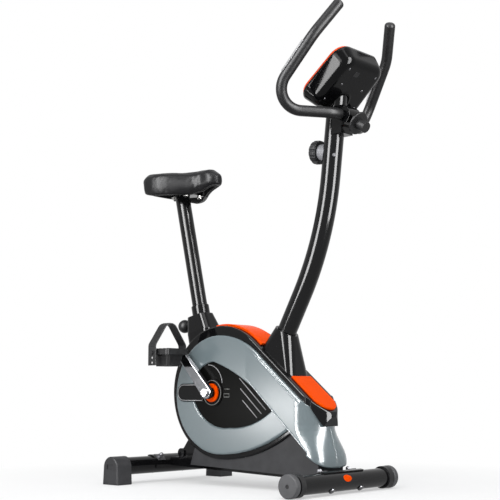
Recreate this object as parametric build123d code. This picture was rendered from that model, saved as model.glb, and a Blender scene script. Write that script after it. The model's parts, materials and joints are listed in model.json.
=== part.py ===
from build123d import *
import os
from math import atan2, cos, degrees, pi, radians, sin, sqrt, tan

# Upright magnetic exercise bike, drawn as an assembly of separate pieces.
# Millimetres, +Z up, +X towards the front, +Y towards the rider's left.
# While a piece is drawn, x is measured from midway between the two stabilisers.
# save() moves every piece by centre_shift, so the origin lies under the middle of the whole.

os.makedirs("parts", exist_ok=True)

# General fits
run_gap = 0.05
free_gap = 0.3
sheet = 3.0
centre_shift = -28.3

# Stabilisers, feet and transport wheels
stance = 640.0
stab_d = 50.0
stab_wall = 2.0
rear_span = 480.0
rear_axis_z = 50.0
foot_len = 55.0
foot_base = 64.0
foot_wall = 4.0
foot_end = 5.0
foot_edge = 4.0
foot_tab_w = 28.0
foot_tab_h = 14.0
foot_tab_depth = 2.0
front_span = 442.0
wheel_d = 61.0
wheel_w = 18.0
wheel_edge = 3.0
wheel_pin_d = 8.0
wheel_pin_head_d = 11.0
wheel_pin_head = 2.5
wheel_well = 4.0
cap_d = 60.0
cap_len = 18.0
cap_end = 4.0
cap_gap = 4.0
cap_lip_angle = 80.0
cap_lip_t = 4.0

# Stabiliser fasteners
bolt_d = 8.0
bolt_y = 62.0
bolt_tilt = 40.0
bolt_head_d = 18.0
bolt_head_h = 4.5
bolt_head_round = 3.6
washer_t = 2.0
washer_len = 28.0
washer_angle = 50.0
nut_across = 13.0
nut_h = 7.0
nut_dome_r = 5.8

# Base frame
rail_w = 40.0
rail_h = 25.0
rail_wall = 2.0
rail_rise = 9.0
drain_d = 8.0
drain_x = 100.0
saddle_t = 4.0
saddle_len = 170.0
saddle_low = -20.0
saddle_high = 112.0
strut_w = 36.0
strut_foot_x = -238.0
strut_foot_len = 62.0
strut_top_x = -176.0
strut_top_z = 150.0
plug_d = 26.0
plug_w = 46.0
plug_x = -254.0
plug_z = 84.0

# Drive cover: disc at the rear, straight slope to the nose
disc_x = -62.0
disc_z = 262.0
disc_r = 188.0
belly_r = 480.0
belly_end_x = 204.0
slope_angle = 39.4
slope_len = 265.0
shell_half = 60.0
shell_edge = 4.0
nose_low_x = 262.0
nose_low_z = 96.0
toe_x = 288.0
toe_z = 78.0
cover_half = 54.0
cover_back_x = -183.0
cover_top_back_x = -165.0
cover_front_x = 283.0
cover_lift = 8.0

# Grey side panel with its raised sweep and its nose
panel_x = -63.0
panel_z = 255.0
panel_r = 167.0
panel_t = 8.0
panel_edge = 4.0
panel_slope_in = 14.0
panel_join_x = 109.0
panel_belly_x = 199.0
sweep_x = 44.0
sweep_z = 300.0
sweep_angle = 41.4
sweep_rise = 6.0
sweep_in = 7.0
hub_shoulder_w = 6.0
hub_shoulder_h = 5.0
nose_x = 306.0
nose_top_x = 287.0
nose_top_z = 172.0
nose_waist_z = 174.0
nose_toe_z = 82.0
nose_sole_z = 64.0
nose_waist_bulge = 30.0
nose_toe_bulge = 52.0
nose_side_run = 32.0
nose_back_x = 196.0
nose_turn_x = 214.0
nose_steps = 7

# Hub panel, plaque and hub ring
hub_rear_x = -163.0
hub_rear_z = 252.0
hub_top_x = -83.0
hub_top_z = 347.0
hub_tip_x = 136.0
hub_tip_z = 212.0
hub_low_x = -20.0
hub_low_z = 163.0
hub_top_bow = 17.0
hub_back_bow = 27.0
hub_heel_bow = 31.0
hub_low_bow = 14.0
hub_t = 4.0
hub_rib_len = 62.0
hub_rib_w = 1.6
hub_rib_h = 1.2
hub_rib_pitch = 17.0
hub_rib_step = 9.4
hub_rib_shrink = 6.0
hub_ribs = 3
hub_rib_x = 88.0
hub_rib_z = 238.0
plaque_h = 50.0
plaque_end_x = -198.0
plaque_t = 2.0
ring_d = 52.0
ring_bore = 30.0
ring_t = 7.0
collar_d = 80.0
collar_t = 3.0

# Top covers, nose cap and mast boot
top_half = 40.0
top_t = 6.0
top_edge = 3.0
rear_top_start = 100.0
boot_back = 24.0
boot_front = 166.0
boot_half = 43.0
boot_corner = 24.0
boot_top_z = 430.0
boot_top_d = 66.0
boot_top_corner = 31.5
front_top_end = 303.0
cap_border = 8.0
cap_edge = 5.0
cap_front_x = 301.0
cap_front_z = 197.0
cap_proud = 0.5

# Seat tube, bush, shroud and seat lock
seat_lean = 13.0
seat_axis_x = -205.0
seat_axis_z = 535.0
post_d = 45.0
post_wall = 2.0
bush_wall = 1.6
bush_len = 110.0
bush_top_d = 53.0
bush_top_h = 30.0
bush_edge = 3.0
tube_wall = 2.0
tube_top_z = 489.0
shroud_back = 42.0
shroud_front = 31.0
shroud_half = 29.0
shroud_low_back = 46.0
shroud_low_front = 46.0
shroud_low_half = 36.0
shroud_flare = 50.0
shroud_skirt = 140.0
shroud_corner = 20.0
lock_z = 475.0
lock_pin_d = 10.0
lock_boss_d = 22.0
lock_neck_d = 20.0
lock_neck = 14.0
lock_ball_d = 40.0
lock_ball_out = 16.0
post_top_z = 858.0
post_inserted = 150.0
post_hole_pitch = 30.0
post_hole_count = 6

# Saddle
plate_t = 4.0
plate_front_x = -235.0
plate_front_y = 30.0
plate_rear_x = -312.0
plate_pad_d = 24.0
stud_d = 8.0
stud_len = 10.0
stud_boss_d = 20.0
seat_rear_x = -375.0
seat_nose_x = -121.0
seat_rear_half = 110.0
seat_nose_half = 30.0
seat_waist_x = -217.0
seat_neck_x = -165.0
seat_lobe_x = -305.0
seat_rear_round = 46.0
seat_nose_round = 34.0
seat_base_z = 851.0
seat_nose_lift = 26.0
seat_tail_lift = 14.0
seat_top_z = 916.5
seat_tail_drop = 12.0
seat_rise = 9.0
seat_rise_x = -229.0
seat_tip_drop = 22.0
seat_tip_len = 40.0
seat_crown = 26.0
seat_tuck = 9.0
seat_bow = 0.1
seat_tip_round = 0.8
seat_side_round = 0.6
seat_tip_tuck = 0.3
seat_cuts = 18
pan_skirt = 9.0
pan_front = 20.0
pan_depth = 24.0
pan_nose_depth = 9.0
pan_rim = 1.0
pan_roof = 4.0
pan_wall = 3.0
pan_cuts = 8

# Mast and front post
mast_d = 54.0
mast_wall = 2.0
mast_lean = 29.0
mast_top_lean = 7.0
mast_ref_x = 154.5
mast_ref_z = 460.0
mast_joint_z = 487.0
mast_stub = 40.0
mast_straight = 45.0
mast_bend_r = 880.0
mast_screw_d = 10.0
mast_screw_h = 3.0

# Tension control on the mast
tension_z = 912.0
tension_base_d = 44.0
tension_base_len = 13.0
tension_knob_d = 66.0
tension_knob_len = 21.0
tension_knob_edge = 5.0
tension_shaft_d = 8.0
tension_shaft_len = 12.0
tension_flutes = 12
tension_flute_d = 8.0
tension_screw_d = 9.0
tension_screw_h = 2.5

# Handlebar and its clamp
bar_d = 24.0
bar_wall = 1.5
grip_d = 30.0
grip_edge = 9.0
bar_x = 352.0
bar_z = 1003.0
bar_mid_y = 56.0
bar_back_x = 238.0
bar_back_y = 213.0
bar_back_z = 1004.0
bar_knee_x = 371.0
bar_knee_y = 166.0
bar_knee_z = 1190.0
bar_end_x = 420.5
bar_end_y = 114.5
bar_end_z = 1280.0
bar_mid_r = 55.0
bar_back_r = 60.0
bar_knee_r = 150.0
bar_plug = 6.0
grip_start = 33.0
sensor_d = 36.0
sensor_len = 96.0
sensor_below = 30.0
sensor_share = 0.42
clamp_half = 26.0
clamp_d = 56.0
clamp_drop = 20.0
clamp_knob_dip = 33.0
clamp_boss_d = 26.0
clamp_boss_out = 36.0
clamp_screw_d = 8.0
knob_flange_d = 64.0
knob_flange_t = 6.0
knob_flange_edge = 1.8
knob_hub_d = 30.0
knob_hub_len = 28.0
knob_gap = 6.0

# Console
console_x = 333.0
console_z = 1114.0
console_tilt = 40.7
console_h = 186.0
console_low_half = 104.0
console_high_half = 94.0
console_corner = 44.0
console_depth = 50.0
console_draft = 14.0
console_back_edge = 22.0
console_wall = 2.5
console_front_t = 9.0
console_front_draft = 30.0
console_socket_gap = 1.0
console_plate_depth = 24.0
console_plate_t = 3.0
lens_w = 104.0
lens_h = 64.0
lens_y = 18.0
lens_t = 3.0
lens_corner = 8.0
key_d = 20.0
key_y = -42.0
key_t = 6.0
key_proud = 2.5

# Cranks and pedals
crank_x = -86.0
crank_z = 260.0
crank_len = 150.0
crank_angle = 133.0
crank_in_y = 80.0
crank_t = 14.0
crank_hub_d = 36.0
crank_eye_d = 26.0
crank_edge = 3.0
axle_d = 17.0
axle_nut_d = 22.0
axle_nut_h = 7.0
bracket_d = 46.0
bracket_w = 48.0
web_h = 36.0
web_w = 38.0
spindle_d = 12.0
pedal_gap = 5.0
pedal_w = 86.0
pedal_l = 80.0
pedal_t = 16.0
pedal_drop = 33.0
pedal_low_w = 62.0
pedal_low_l = 64.0
pedal_sole_w = 53.0
pedal_sole_l = 52.0
pedal_above = 14.0
pedal_corner = 8.0
pedal_tread_w = 4.0
pedal_tread_h = 2.0
pedal_tread_len = 69.0
pedal_treads = 5
strap_w = 30.0
strap_t = 3.0
strap_peak = 92.0
strap_tail = 47.0
strap_hook = 5.0
strap_leg = 12.0
strap_round = 20.0
strap_skew = 12.0
strap_stand = 7.0
strap_peg_d = 12.0
strap_peg_head = 3.0
strap_peg_row = 2
strap_hole_d = 7.0
strap_hole_pitch = 14.0
strap_hole_start = 8.0
strap_holes = 3

# Pulleys, belt, flywheel and brake
belt_y = 36.0
belt_w = 12.0
belt_t = 2.5
belt_gap = 0.2
pulley_d = 190.0
pulley_w = 14.0
pulley_web = 5.0
pulley_rim = 10.0
pulley_hub_d = 40.0
pulley_holes = 5
pulley_hole_d = 34.0
fly_pulley_d = 32.0
fly_x = 150.0
fly_z = 165.0
fly_d = 180.0
fly_w = 25.0
fly_y = 8.0
fly_hub_d = 36.0
fly_axle_d = 10.0
fly_plate_t = 4.0
fly_plate_gap = 3.0
fly_plate_eye = 32.0
fly_foot_len = 80.0
magnet_gap = 3.0
magnet_t = 11.0
magnet_w = 28.0
magnet_from = 79.0
magnet_sweep = 81.0
magnet_pin_d = 10.0
magnet_pin_r = 105.0
magnet_pin_angle = 80.0


def save(node, *shapes):
    """Writes one piece, or one group of like pieces, to its own file."""
    solids = [Pos(centre_shift, 0, 0) * solid for shape in shapes for solid in shape.solids()]
    export_step(solids[0] if len(solids) == 1 else Compound(solids), f"parts/{node}.step")


def save_pair(name, right):
    """Writes a right-hand piece and its mirror image."""
    save(f"{name}_right", right)
    save(f"{name}_left", mirror(right, about=Plane.XZ))


def both(right):
    """Gives a right-hand piece and its mirror image as one group."""
    return Compound([*right.solids(), *mirror(right, about=Plane.XZ).solids()])


def rod(diameter, start, end):
    """Round bar between two points."""
    run = Vector(*end) - Vector(*start)
    return Solid.make_cylinder(diameter / 2, run.length, Plane(origin=start, z_dir=run))


def cross_rod(diameter, x, z, y_from, y_to):
    """Round bar along y."""
    return rod(diameter, (x, y_from, z), (x, y_to, z))


def outline(*edges):
    """Closed face from edges in order."""
    return make_face([edge for part in edges for edge in part.edges()])


def polygon(*points):
    """Closed face with straight sides."""
    return make_face(Polyline(*points, close=True))


def across(face, near, far):
    """Solid from a face drawn in x and z, from y = -near to y = -far, so positive is the right side."""
    return extrude(Plane.XZ.offset(near) * face, amount=far - near, dir=(0, -1, 0))


def link(a, b, radius):
    """Face round two points."""
    return make_hull((Pos(*a) * Circle(radius)).edges() + (Pos(*b) * Circle(radius)).edges())


def band(inner_r, outer_r, start, sweep):
    """Flat face of part of a ring, angles from +x."""
    a = radians(start)
    b = radians(start + sweep)
    return outline(
        CenterArc((0, 0), outer_r, start, sweep),
        Line((outer_r * cos(b), outer_r * sin(b)), (inner_r * cos(b), inner_r * sin(b))),
        CenterArc((0, 0), inner_r, start, sweep),
        Line((inner_r * cos(a), inner_r * sin(a)), (outer_r * cos(a), outer_r * sin(a))),
    )


def bent_path(points, radii):
    """Straight runs through the points, with a tangent arc of the given radius at each inner one."""
    points = [Vector(*p) for p in points]
    pieces = []
    here = points[0]
    for before, corner, after, radius in zip(points, points[1:], points[2:], radii):
        inward = (corner - before).normalized()
        outward = (after - corner).normalized()
        reach = radius * tan(radians(inward.get_angle(outward)) / 2)
        bend_start = corner - inward * reach
        bend_end = corner + outward * reach
        pieces += [Line(here, bend_start), TangentArc(bend_start, bend_end, tangent=inward)]
        here = bend_end
    pieces.append(Line(here, points[-1]))
    return Wire([edge for piece in pieces for edge in piece.edges()])


def pipe(path, diameter):
    """Round bar along a path."""
    return sweep(Plane(origin=path @ 0, z_dir=path % 0) * Circle(diameter / 2), path=path)


# Stabilisers
rear_x = -stance / 2
front_x = stance / 2
front_axis_z = wheel_d / 2
stab_r = stab_d / 2
saddle_r = stab_r + saddle_t
washer_r = saddle_r + washer_t


def stab_place(x, z, tilt):
    """Frame of a stabiliser bolt: local z is the bolt axis, the nut at its top."""
    return Pos(x, 0, z) * Rot(0, tilt, 0)


bolt_frames = [
    stab_place(rear_x, rear_axis_z, bolt_tilt) * Pos(0, bolt_y, 0),
    stab_place(rear_x, rear_axis_z, bolt_tilt) * Pos(0, -bolt_y, 0),
    stab_place(front_x, front_axis_z, -bolt_tilt) * Pos(0, bolt_y, 0),
    stab_place(front_x, front_axis_z, -bolt_tilt) * Pos(0, -bolt_y, 0),
]
bolt_shank = rod(bolt_d, (0, 0, -stab_r), (0, 0, washer_r + nut_h))
bolt_head = rod(bolt_head_d, (0, 0, -stab_r - bolt_head_h), (0, 0, -stab_r))
bolt_head = fillet(bolt_head.edges().sort_by(Axis.Z)[0], bolt_head_round)
washer_face = band(saddle_r, washer_r, 90 - washer_angle / 2, washer_angle)
washer = across(washer_face, -washer_len / 2, washer_len / 2) - bolt_shank
nut_corner = nut_across / sqrt(3)
nut = Pos(0, 0, washer_r) * extrude(RegularPolygon(nut_corner, 6), amount=nut_h)
nut_end = Plane(origin=(0, 0, washer_r + nut_h))
nut_dome = split(Pos(nut_end.origin) * Sphere(nut_dome_r), nut_end, keep=Keep.TOP)
nut = nut + nut_dome - bolt_shank
bolt_holes = [frame * bolt_shank for frame in bolt_frames]

rear_inner = rear_span / 2 - foot_end
rear_tube = cross_rod(stab_d, rear_x, rear_axis_z, -rear_inner, rear_inner)
rear_tube -= cross_rod(stab_d - 2 * stab_wall, rear_x, rear_axis_z, -rear_inner, rear_inner)
rear_tube = rear_tube - bolt_holes[0] - bolt_holes[1]

arch_r = stab_r + foot_wall
foot_face = outline(
    Line((-foot_base / 2, 0), (foot_base / 2, 0)),
    Line((foot_base / 2, 0), (arch_r, rear_axis_z)),
    CenterArc((0, rear_axis_z), arch_r, 0, 180),
    Line((-arch_r, rear_axis_z), (-foot_base / 2, 0)),
)
foot = across(foot_face, rear_span / 2 - foot_len, rear_span / 2)
foot = fillet(foot.faces().sort_by(Axis.Y)[0].edges(), foot_edge)
foot -= cross_rod(stab_d, 0, rear_axis_z, -rear_inner, 0)
tab_cut = Pos(0, -rear_span / 2, rear_axis_z) * Box(foot_tab_w, 2 * foot_tab_depth, foot_tab_h)
foot = Pos(rear_x, 0, 0) * (foot - tab_cut)

wheel_out = front_span / 2
wheel_in = wheel_out - wheel_w
cap_out = wheel_in - cap_gap
cap_in = cap_out - cap_len
front_inner = cap_out - cap_end
front_tube = cross_rod(stab_d, front_x, front_axis_z, -front_inner, front_inner)
front_tube -= cross_rod(stab_d - 2 * stab_wall, front_x, front_axis_z, -front_inner, front_inner)
front_tube = front_tube - bolt_holes[2] - bolt_holes[3]

pin_end = wheel_out - wheel_well
end_cap = cross_rod(cap_d, front_x, front_axis_z, -cap_out, -cap_in)
end_cap -= cross_rod(stab_d, front_x, front_axis_z, -front_inner, -cap_in)
end_cap += cross_rod(wheel_pin_d, front_x, front_axis_z, -pin_end, -front_inner)
end_cap += cross_rod(wheel_pin_head_d, front_x, front_axis_z, -pin_end - wheel_pin_head, -pin_end)
cap_lip = band(cap_d / 2 - cap_lip_t, cap_d / 2, 90 - cap_lip_angle / 2, cap_lip_angle)
end_cap += Pos(front_x, 0, front_axis_z) * across(cap_lip, cap_out, wheel_in - 2 * free_gap)

transport_wheel = cross_rod(wheel_d, front_x, front_axis_z, -wheel_out, -wheel_in)
transport_wheel = fillet(transport_wheel.edges(), wheel_edge)
transport_wheel -= cross_rod(wheel_pin_d + 2 * run_gap, front_x, front_axis_z, -wheel_out, -wheel_in)
well_d = wheel_pin_head_d + 2 * free_gap
transport_wheel -= cross_rod(well_d, front_x, front_axis_z, -wheel_out, -pin_end + free_gap)

save("rear_stabiliser", rear_tube)
save_pair("rear_foot", foot)
save("front_stabiliser", front_tube)
save_pair("front_cap", end_cap)
save_pair("transport_wheel", transport_wheel)
save("stabiliser_bolts", *[frame * (bolt_shank + bolt_head) for frame in bolt_frames])
save("stabiliser_nuts", *[frame * nut for frame in bolt_frames], *[frame * washer for frame in bolt_frames])

# Base frame
rail_back = Vector(rear_x, 0, rear_axis_z + rail_rise)
rail_front = Vector(front_x, 0, front_axis_z + rail_rise)
rail_run = rail_front - rail_back
rail_normal = Vector(0, -1, 0).cross(rail_run)
rail_plane = Plane(origin=(rail_back + rail_front) / 2, x_dir=rail_run, z_dir=rail_normal)


def rail_top(x):
    """Height of the rail's upper face at x."""
    return rail_back.Z + (x - rail_back.X) * rail_run.Z / rail_run.X + rail_h / 2


def rail_line(x):
    """Height of the line between the stabiliser axes at x."""
    return rail_top(x) - rail_h / 2 - rail_rise


rail_bar = rail_plane * Box(rail_run.length, rail_w, rail_h)
rail_bore = rail_plane * Box(rail_run.length, rail_w - 2 * rail_wall, rail_h - 2 * rail_wall)
rail_face = rail_plane.offset(rail_h / 2)
rear_seat = cross_rod(2 * saddle_r, rear_x, rear_axis_z, -saddle_len, saddle_len)
front_seat = cross_rod(2 * saddle_r, front_x, front_axis_z, -saddle_len, saddle_len)
rail = rail_bar - rail_bore - rear_seat - front_seat
for x in (-drain_x, drain_x):
    rail -= rod(drain_d, (x, 0, 0), (x, 0, rail_line(x) + rail_rise))
saddle_face = band(stab_r, saddle_r, saddle_low, saddle_high - saddle_low)
rear_saddle = Pos(rear_x, 0, rear_axis_z) * across(saddle_face, -saddle_len / 2, saddle_len / 2)
front_saddle = across(mirror(saddle_face, about=Plane.YZ), -saddle_len / 2, saddle_len / 2)
front_saddle = Pos(front_x, 0, front_axis_z) * front_saddle

disc_bar = cross_rod(2 * disc_r, disc_x, disc_z, -front_span, front_span)
strut_back_x = strut_foot_x - strut_foot_len / 2
strut_front_x = strut_foot_x + strut_foot_len / 2
strut = polygon(
    (strut_back_x, rail_top(strut_back_x)),
    (strut_front_x, rail_top(strut_front_x)),
    (strut_top_x, strut_top_z),
    (strut_top_x - strut_foot_len / 2, strut_top_z),
)
strut = across(strut, -strut_w / 2, strut_w / 2) - disc_bar
plug = cross_rod(plug_d, plug_x, plug_z, -plug_w / 2, plug_w / 2) - disc_bar

fly_left = fly_y + fly_w / 2 + fly_plate_gap
fly_right = belt_y + pulley_w / 2 + fly_plate_gap
foot_plate = Pos(fly_x, (fly_left - fly_right) / 2, rail_top(fly_x) + fly_plate_t / 2)
foot_plate *= Box(fly_foot_len, fly_left + fly_right + 2 * fly_plate_t, fly_plate_t)
upright = polygon(
    (fly_x - fly_foot_len / 2, rail_top(fly_x)),
    (fly_x + fly_foot_len / 2, rail_top(fly_x)),
    (fly_x + fly_plate_eye / 2, fly_z),
    (fly_x - fly_plate_eye / 2, fly_z),
) + Pos(fly_x, fly_z) * Circle(fly_plate_eye / 2)
magnet_pin_x = fly_x + magnet_pin_r * cos(radians(magnet_pin_angle))
magnet_pin_z = fly_z + magnet_pin_r * sin(radians(magnet_pin_angle))
arm = link((fly_x, fly_z), (magnet_pin_x, magnet_pin_z), magnet_pin_d)
bracket = foot_plate + across(upright, fly_right, fly_right + fly_plate_t)
bracket += across(upright + arm, -fly_left - fly_plate_t, -fly_left)
bracket -= cross_rod(fly_axle_d, fly_x, fly_z, -front_span, front_span)
bracket -= cross_rod(magnet_pin_d + 2 * run_gap, magnet_pin_x, magnet_pin_z, -front_span, front_span)
base_frame = rail + rear_saddle + front_saddle + strut + plug + bracket - bolt_holes
save("base_frame", base_frame)

# Seat tube with the crank bracket and the boss of the seat lock
seat_up = Vector(-sin(radians(seat_lean)), 0, cos(radians(seat_lean)))
seat_back = Vector(-cos(radians(seat_lean)), 0, -sin(radians(seat_lean)))


def seat_point(z):
    """Point of the seat axis at a height."""
    return Vector(seat_axis_x, 0, seat_axis_z) + seat_up * ((z - seat_axis_z) / seat_up.Z)


tube_in = post_d + 2 * bush_wall
tube_d = tube_in + 2 * tube_wall
tube_low = seat_point(rail_line(0))
tube_high = seat_point(tube_top_z)
seat_bar = rod(tube_d, tube_low, tube_high)
lock_axis = seat_point(lock_z)
lock_out = lock_axis + seat_back * shroud_back
crank_bracket = cross_rod(bracket_d, crank_x, crank_z, -bracket_w / 2, bracket_w / 2)
web_end = seat_point(crank_z)
web = link((crank_x, crank_z), (web_end.X, web_end.Z), web_h / 2)
crank_bracket += across(web, -web_w / 2, web_w / 2)
seat_tube = seat_bar + crank_bracket + rod(lock_boss_d, lock_axis, lock_out)
seat_tube -= rod(tube_in, tube_low, tube_high)
seat_tube -= rod(lock_pin_d + 2 * run_gap, lock_axis, lock_out)
seat_tube -= cross_rod(axle_d + 2 * run_gap, crank_x, crank_z, -bracket_w, bracket_w)
seat_tube = split(seat_tube, rail_face, keep=Keep.TOP)
save("seat_tube", seat_tube)

bush = rod(tube_in, tube_high - seat_up * bush_len, tube_high)
bush_top = rod(bush_top_d, tube_high, tube_high + seat_up * bush_top_h)
bush_top = fillet(bush_top.edges().filter_by(GeomType.CIRCLE).sort_by(Axis.Z)[-1], bush_edge)
bush += bush_top
bush -= rod(post_d + 2 * run_gap, tube_high - seat_up * bush_len, tube_high + seat_up * bush_top_h)
bush -= rod(lock_pin_d + 2 * free_gap, lock_axis, lock_out)
save("seat_bush", bush)

seat_plane = Plane(origin=tube_high, x_dir=-seat_back, z_dir=seat_up)


def shroud_face(back, front, half, corner, inset, drop):
    """Rounded outline round the seat tube, on a plane a given way down its axis."""
    face = RectangleRounded(back + front - 2 * inset, 2 * half - 2 * inset, corner - inset)
    return seat_plane.offset(-drop) * Pos((front - back) / 2, 0) * face


def shroud_body(inset, roof):
    """Shroud form: a flare at the top, then a straight skirt."""
    high = shroud_face(shroud_back, shroud_front, shroud_half, shroud_corner, inset, roof)
    low = shroud_face(shroud_low_back, shroud_low_front, shroud_low_half, shroud_corner, inset, shroud_flare)
    return loft([high, low]) + extrude(low, amount=shroud_skirt, dir=-seat_up)


shroud = shroud_body(0, 0) - shroud_body(sheet, sheet) - disc_bar - seat_bar
shroud -= rod(lock_boss_d, lock_axis, lock_out)
shroud -= rod(lock_neck_d + 2 * free_gap, lock_out, lock_out + seat_back * lock_neck)
shroud = shroud.solids().sort_by(SortBy.VOLUME)[-1]
save("seat_shroud", shroud)

lock_tip = lock_axis + seat_back * (post_d / 2 + free_gap)
lock_face = lock_out + seat_back * (sheet + free_gap)
ball_centre = lock_face + seat_back * (lock_neck + lock_ball_out)
seat_lock = rod(lock_pin_d, lock_tip, ball_centre)
seat_lock += rod(lock_neck_d, lock_face, ball_centre)
seat_lock += Pos(ball_centre) * Sphere(lock_ball_d / 2)
save("seat_lock", seat_lock)

# Seat post and saddle
post_low = tube_high - seat_up * post_inserted
post_high = seat_point(post_top_z + post_d)
post_bar = rod(post_d, post_low, post_high) - rod(post_d - 2 * post_wall, post_low, post_high)
post_bar = split(post_bar, Plane(origin=(0, 0, post_top_z)), keep=Keep.BOTTOM)
for step in range(post_hole_count):
    hole = lock_axis - seat_up * (step * post_hole_pitch)
    if (hole - post_low).dot(seat_up) > post_hole_pitch / 2:
        post_bar -= rod(lock_pin_d + 2 * free_gap, hole, hole + seat_back * post_d)
    hole = lock_axis + seat_up * ((step + 1) * post_hole_pitch)
    post_bar -= rod(lock_pin_d + 2 * free_gap, hole, hole + seat_back * post_d)
stud_spots = [(plate_front_x, plate_front_y), (plate_front_x, -plate_front_y), (plate_rear_x, 0)]
plate_pads = [(Pos(*spot) * Circle(plate_pad_d / 2)).edges()[0] for spot in stud_spots]
plate = Pos(0, 0, post_top_z) * extrude(make_hull(plate_pads), amount=plate_t)
stud_top = post_top_z + plate_t
studs = [rod(stud_d, (x, y, post_top_z - stud_len), (x, y, stud_top)) for x, y in stud_spots]
seat_post = post_bar + plate - studs
save("seat_post", seat_post)


def blend(t):
    """Smooth step from 0 to 1."""
    t = min(max(t, 0.0), 1.0)
    return t * t * (3 - 2 * t)


def seat_half(x):
    """Half width of the saddle at x."""
    neck = blend((x - seat_lobe_x) / (seat_neck_x - seat_lobe_x))
    half = seat_rear_half + (seat_nose_half - seat_rear_half) * neck
    tail = min((x - seat_rear_x) / seat_rear_round, 1.0)
    nose = min((seat_nose_x - x) / seat_nose_round, 1.0)
    return half * sqrt(1 - (1 - tail) ** 2) * sqrt(1 - (1 - nose) ** 2)


def seat_low(x):
    """Height of the saddle's lower edge at x."""
    nose = blend((x - seat_waist_x) / (seat_nose_x - seat_waist_x))
    tail = blend((seat_lobe_x - x) / (seat_lobe_x - seat_rear_x))
    return seat_base_z + seat_nose_lift * nose + seat_tail_lift * tail


def seat_high(x):
    """Height of the saddle's top at x: lower at the tail, up before the nose and down at its tip."""
    tail = blend((seat_lobe_x - x) / (seat_lobe_x - seat_rear_x))
    tip_x = seat_nose_x - seat_tip_len
    rise = blend((x - seat_rise_x) / (tip_x - seat_rise_x))
    tip = blend((x - tip_x) / seat_tip_len)
    return seat_top_z - seat_tail_drop * tail + seat_rise * rise - seat_tip_drop * tip


def seat_foot(x):
    """Half width of the saddle's lower edge at x."""
    return seat_half(x) - min(seat_tuck, seat_half(x) * seat_tip_tuck)


def seat_plane_at(x):
    """Plane across the saddle at x."""
    return Plane(origin=(x, 0, 0), x_dir=(0, 1, 0), z_dir=(1, 0, 0))


def seat_section(x, low, high):
    """Section across the saddle: flat base, drawn-in sides and a rounded crown."""
    half = seat_half(x)
    round_r = min(seat_crown, half * seat_tip_round, (high - low) * seat_side_round)
    foot_half = seat_foot(x)
    side_z = high - round_r
    bow = (half - seat_bow * (half - foot_half), (low + side_z) / 2)
    face = outline(
        Line((-foot_half, low), (foot_half, low)),
        ThreePointArc((foot_half, low), bow, (half, side_z)),
        CenterArc((half - round_r, side_z), round_r, 0, 90),
        Line((half - round_r, high), (round_r - half, high)),
        CenterArc((round_r - half, side_z), round_r, 90, 90),
        ThreePointArc((-half, side_z), (-bow[0], bow[1]), (-foot_half, low)),
    )
    return seat_plane_at(x) * face


seat_mid_x = (seat_rear_x + seat_nose_x) / 2
seat_reach = (seat_nose_x - seat_rear_x) / 2
seat_turns = [pi * (cut + 1 / 2) / seat_cuts for cut in range(seat_cuts)]
seat_xs = [seat_mid_x - seat_reach * cos(turn) for turn in seat_turns]
cushion = loft([seat_section(x, seat_low(x), seat_high(x)) for x in seat_xs], ruled=True)


def pan_deep(x):
    """Depth of the hollow under the saddle at x, shallow at the nose."""
    nose = blend((x - seat_waist_x) / (seat_nose_x - seat_waist_x))
    return pan_depth + (pan_nose_depth - pan_depth) * nose


def pan_body(inset, rim, roof):
    """Form of the hollow under the saddle: inset from its sides, with a rim and a roof moved up or down."""
    first = seat_rear_x + pan_skirt
    last = seat_nose_x - pan_front
    sections = []
    for cut in range(pan_cuts + 1):
        part = (1 - cos(pi * cut / pan_cuts)) / 2
        x = first + (last - first) * part
        half = seat_foot(x) - pan_skirt - inset
        low = seat_low(x) + rim
        high = seat_low(x) + pan_deep(x) + roof
        face = polygon((-half, low), (half, low), (half, high), (-half, high))
        sections.append(seat_plane_at(x + inset - 2 * inset * part) * face)
    return loft(sections, ruled=True)


save("saddle_cushion", cushion - pan_body(0, -pan_depth, 0))

pan = pan_body(free_gap, pan_rim, -free_gap)
pan -= pan_body(free_gap + pan_wall, -pan_depth, -free_gap - pan_roof)
boss_tops = [(x, y, seat_low(x) + pan_deep(x) - pan_roof / 2) for x, y in stud_spots]
bosses = [rod(stud_boss_d, (*end[:2], stud_top), end) for end in boss_tops]
pan = pan + bosses + studs
save("saddle_base", pan)
stud_nut = extrude(RegularPolygon(nut_across / sqrt(3), 6), amount=-nut_h)
stud_nuts = [Pos(x, y, post_top_z) * stud_nut - studs for x, y in stud_spots]
save("saddle_nuts", *stud_nuts)

# Drive cover
slope = radians(slope_angle)
slope_top = (disc_x + disc_r * sin(slope), disc_z + disc_r * cos(slope))
slope_plane = Plane(
    origin=(slope_top[0], 0, slope_top[1]),
    x_dir=(cos(slope), 0, -sin(slope)),
    z_dir=(sin(slope), 0, cos(slope)),
)


def slope_point(run, drop=0.0):
    """Point in x and z a given run down the slope, and a given drop under its surface."""
    return (
        slope_top[0] + run * cos(slope) - drop * sin(slope),
        slope_top[1] - run * sin(slope) - drop * cos(slope),
    )


def belly(x, centre_x, low, radius):
    """Height of a belly arc, lowest at centre_x."""
    return low + radius - sqrt(radius**2 - (x - centre_x) ** 2)


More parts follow.
